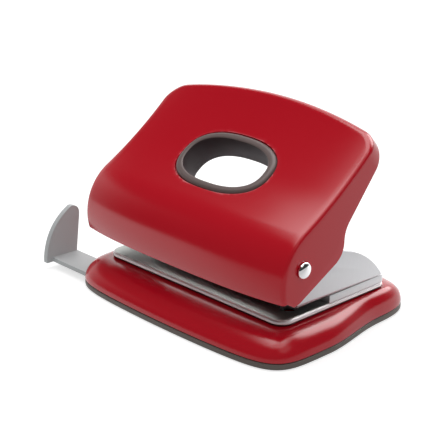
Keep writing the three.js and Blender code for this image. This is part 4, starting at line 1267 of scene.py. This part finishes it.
def lamp(name, towards, distance, width, height, brightness):
    """A soft lamp that hangs in a direction as seen from the punch, given by how bright its face is."""
    direction = Vector(towards).normalized()
    bpy.ops.object.light_add(type="AREA")
    light = bpy.context.object
    light.name = name
    light.data.shape = "RECTANGLE"
    light.data.size, light.data.size_y = width, height
    light.data.energy = brightness * width * height * math.pi
    place = Matrix.Translation(direction * distance + Vector((0, 0, 0.03)))
    light.matrix_world = place @ (-direction).to_track_quat("-Z", "Y").to_matrix().to_4x4()
    return light


lamp("overhead", (-0.12, 0.10, 0.99), 1.2, 1.0, 1.0, 2.1)


def fade(tree, value, start, end):
    """1 up to the first bound, then falling softly to 0 at the second, which may be the lower one."""
    ramp = tree.add("MapRange", Value=value, From_Min=start, From_Max=end, To_Min=1, To_Max=0)
    ramp.interpolation_type = "SMOOTHSTEP"
    return ramp.outputs["Result"]


def light_rays(tree):
    """Whether a ray was mirrored or let through, and whether it comes straight from the camera."""
    rays = tree.add("LightPath").outputs
    return tree.math("MAXIMUM", rays["Is Glossy Ray"], rays["Is Transmission Ray"]), rays["Is Camera Ray"]


bpy.ops.mesh.primitive_plane_add(size=4)
table = bpy.context.object
table.name = "table"
white_table = bpy.data.materials.new("white table")
white_table.use_nodes = True
tree = Tree(white_table.node_tree)
tree.nodes.clear()
mirrored_ray, camera_ray = light_rays(tree)
behind = tree.dot(tree.add("TexCoord").outputs["Object"], backdrop_towards)
mirrored_lit = tree.math("MULTIPLY", mirrored_ray, fade(tree, behind, table_lit, table_dark))
mirrored_strength = tree.math("MULTIPLY", mirrored_lit, mirrored_glow)
camera_strength = tree.math("MULTIPLY", camera_ray, table_glow)
glow = tree.add("Emission", Strength=tree.math("MAXIMUM", mirrored_strength, camera_strength))
both = tree.add("AddShader")
tree.put(tree.add("BsdfDiffuse", Color=table_color).outputs["BSDF"], both.inputs[0])
tree.put(glow.outputs["Emission"], both.inputs[1])
tree.add("OutputMaterial", Surface=both.outputs["Shader"])
table.data.materials.append(white_table)

world = bpy.data.worlds.new("studio")
bpy.context.scene.world = world
world.use_nodes = True
world.cycles.sampling_method = "NONE"
tree = Tree(world.node_tree)
mirrored_ray, camera_ray = light_rays(tree)
direction = tree.add("TexCoord").outputs["Generated"]
height = tree.add("SeparateXYZ", Vector=direction).outputs["Z"]
along = tree.dot(direction, backdrop_towards)
backdrop = tree.math("MULTIPLY", fade(tree, along, backdrop_near, backdrop_far),
                     fade(tree, height, backdrop_top, ceiling_low))
level = tree.math("MULTIPLY_ADD", backdrop, backdrop_level - room_level, room_level)
level = tree.math("MULTIPLY_ADD", fade(tree, height, panel_edge, panel_start), panel_level, level)
for towards, brightness in softboxes:
    beside = tree.dot(direction, Vector(towards).normalized())
    level = tree.math("MULTIPLY_ADD", fade(tree, beside, softbox_inner, softbox_outer), brightness, level)
level = tree.math("MULTIPLY_ADD", mirrored_ray, tree.math("SUBTRACT", level, even_level), even_level)
level = tree.math("MAXIMUM", level, camera_ray)
tree.fill(tree.nodes["Background"], {"Color": (1, 1, 1), "Strength": level})
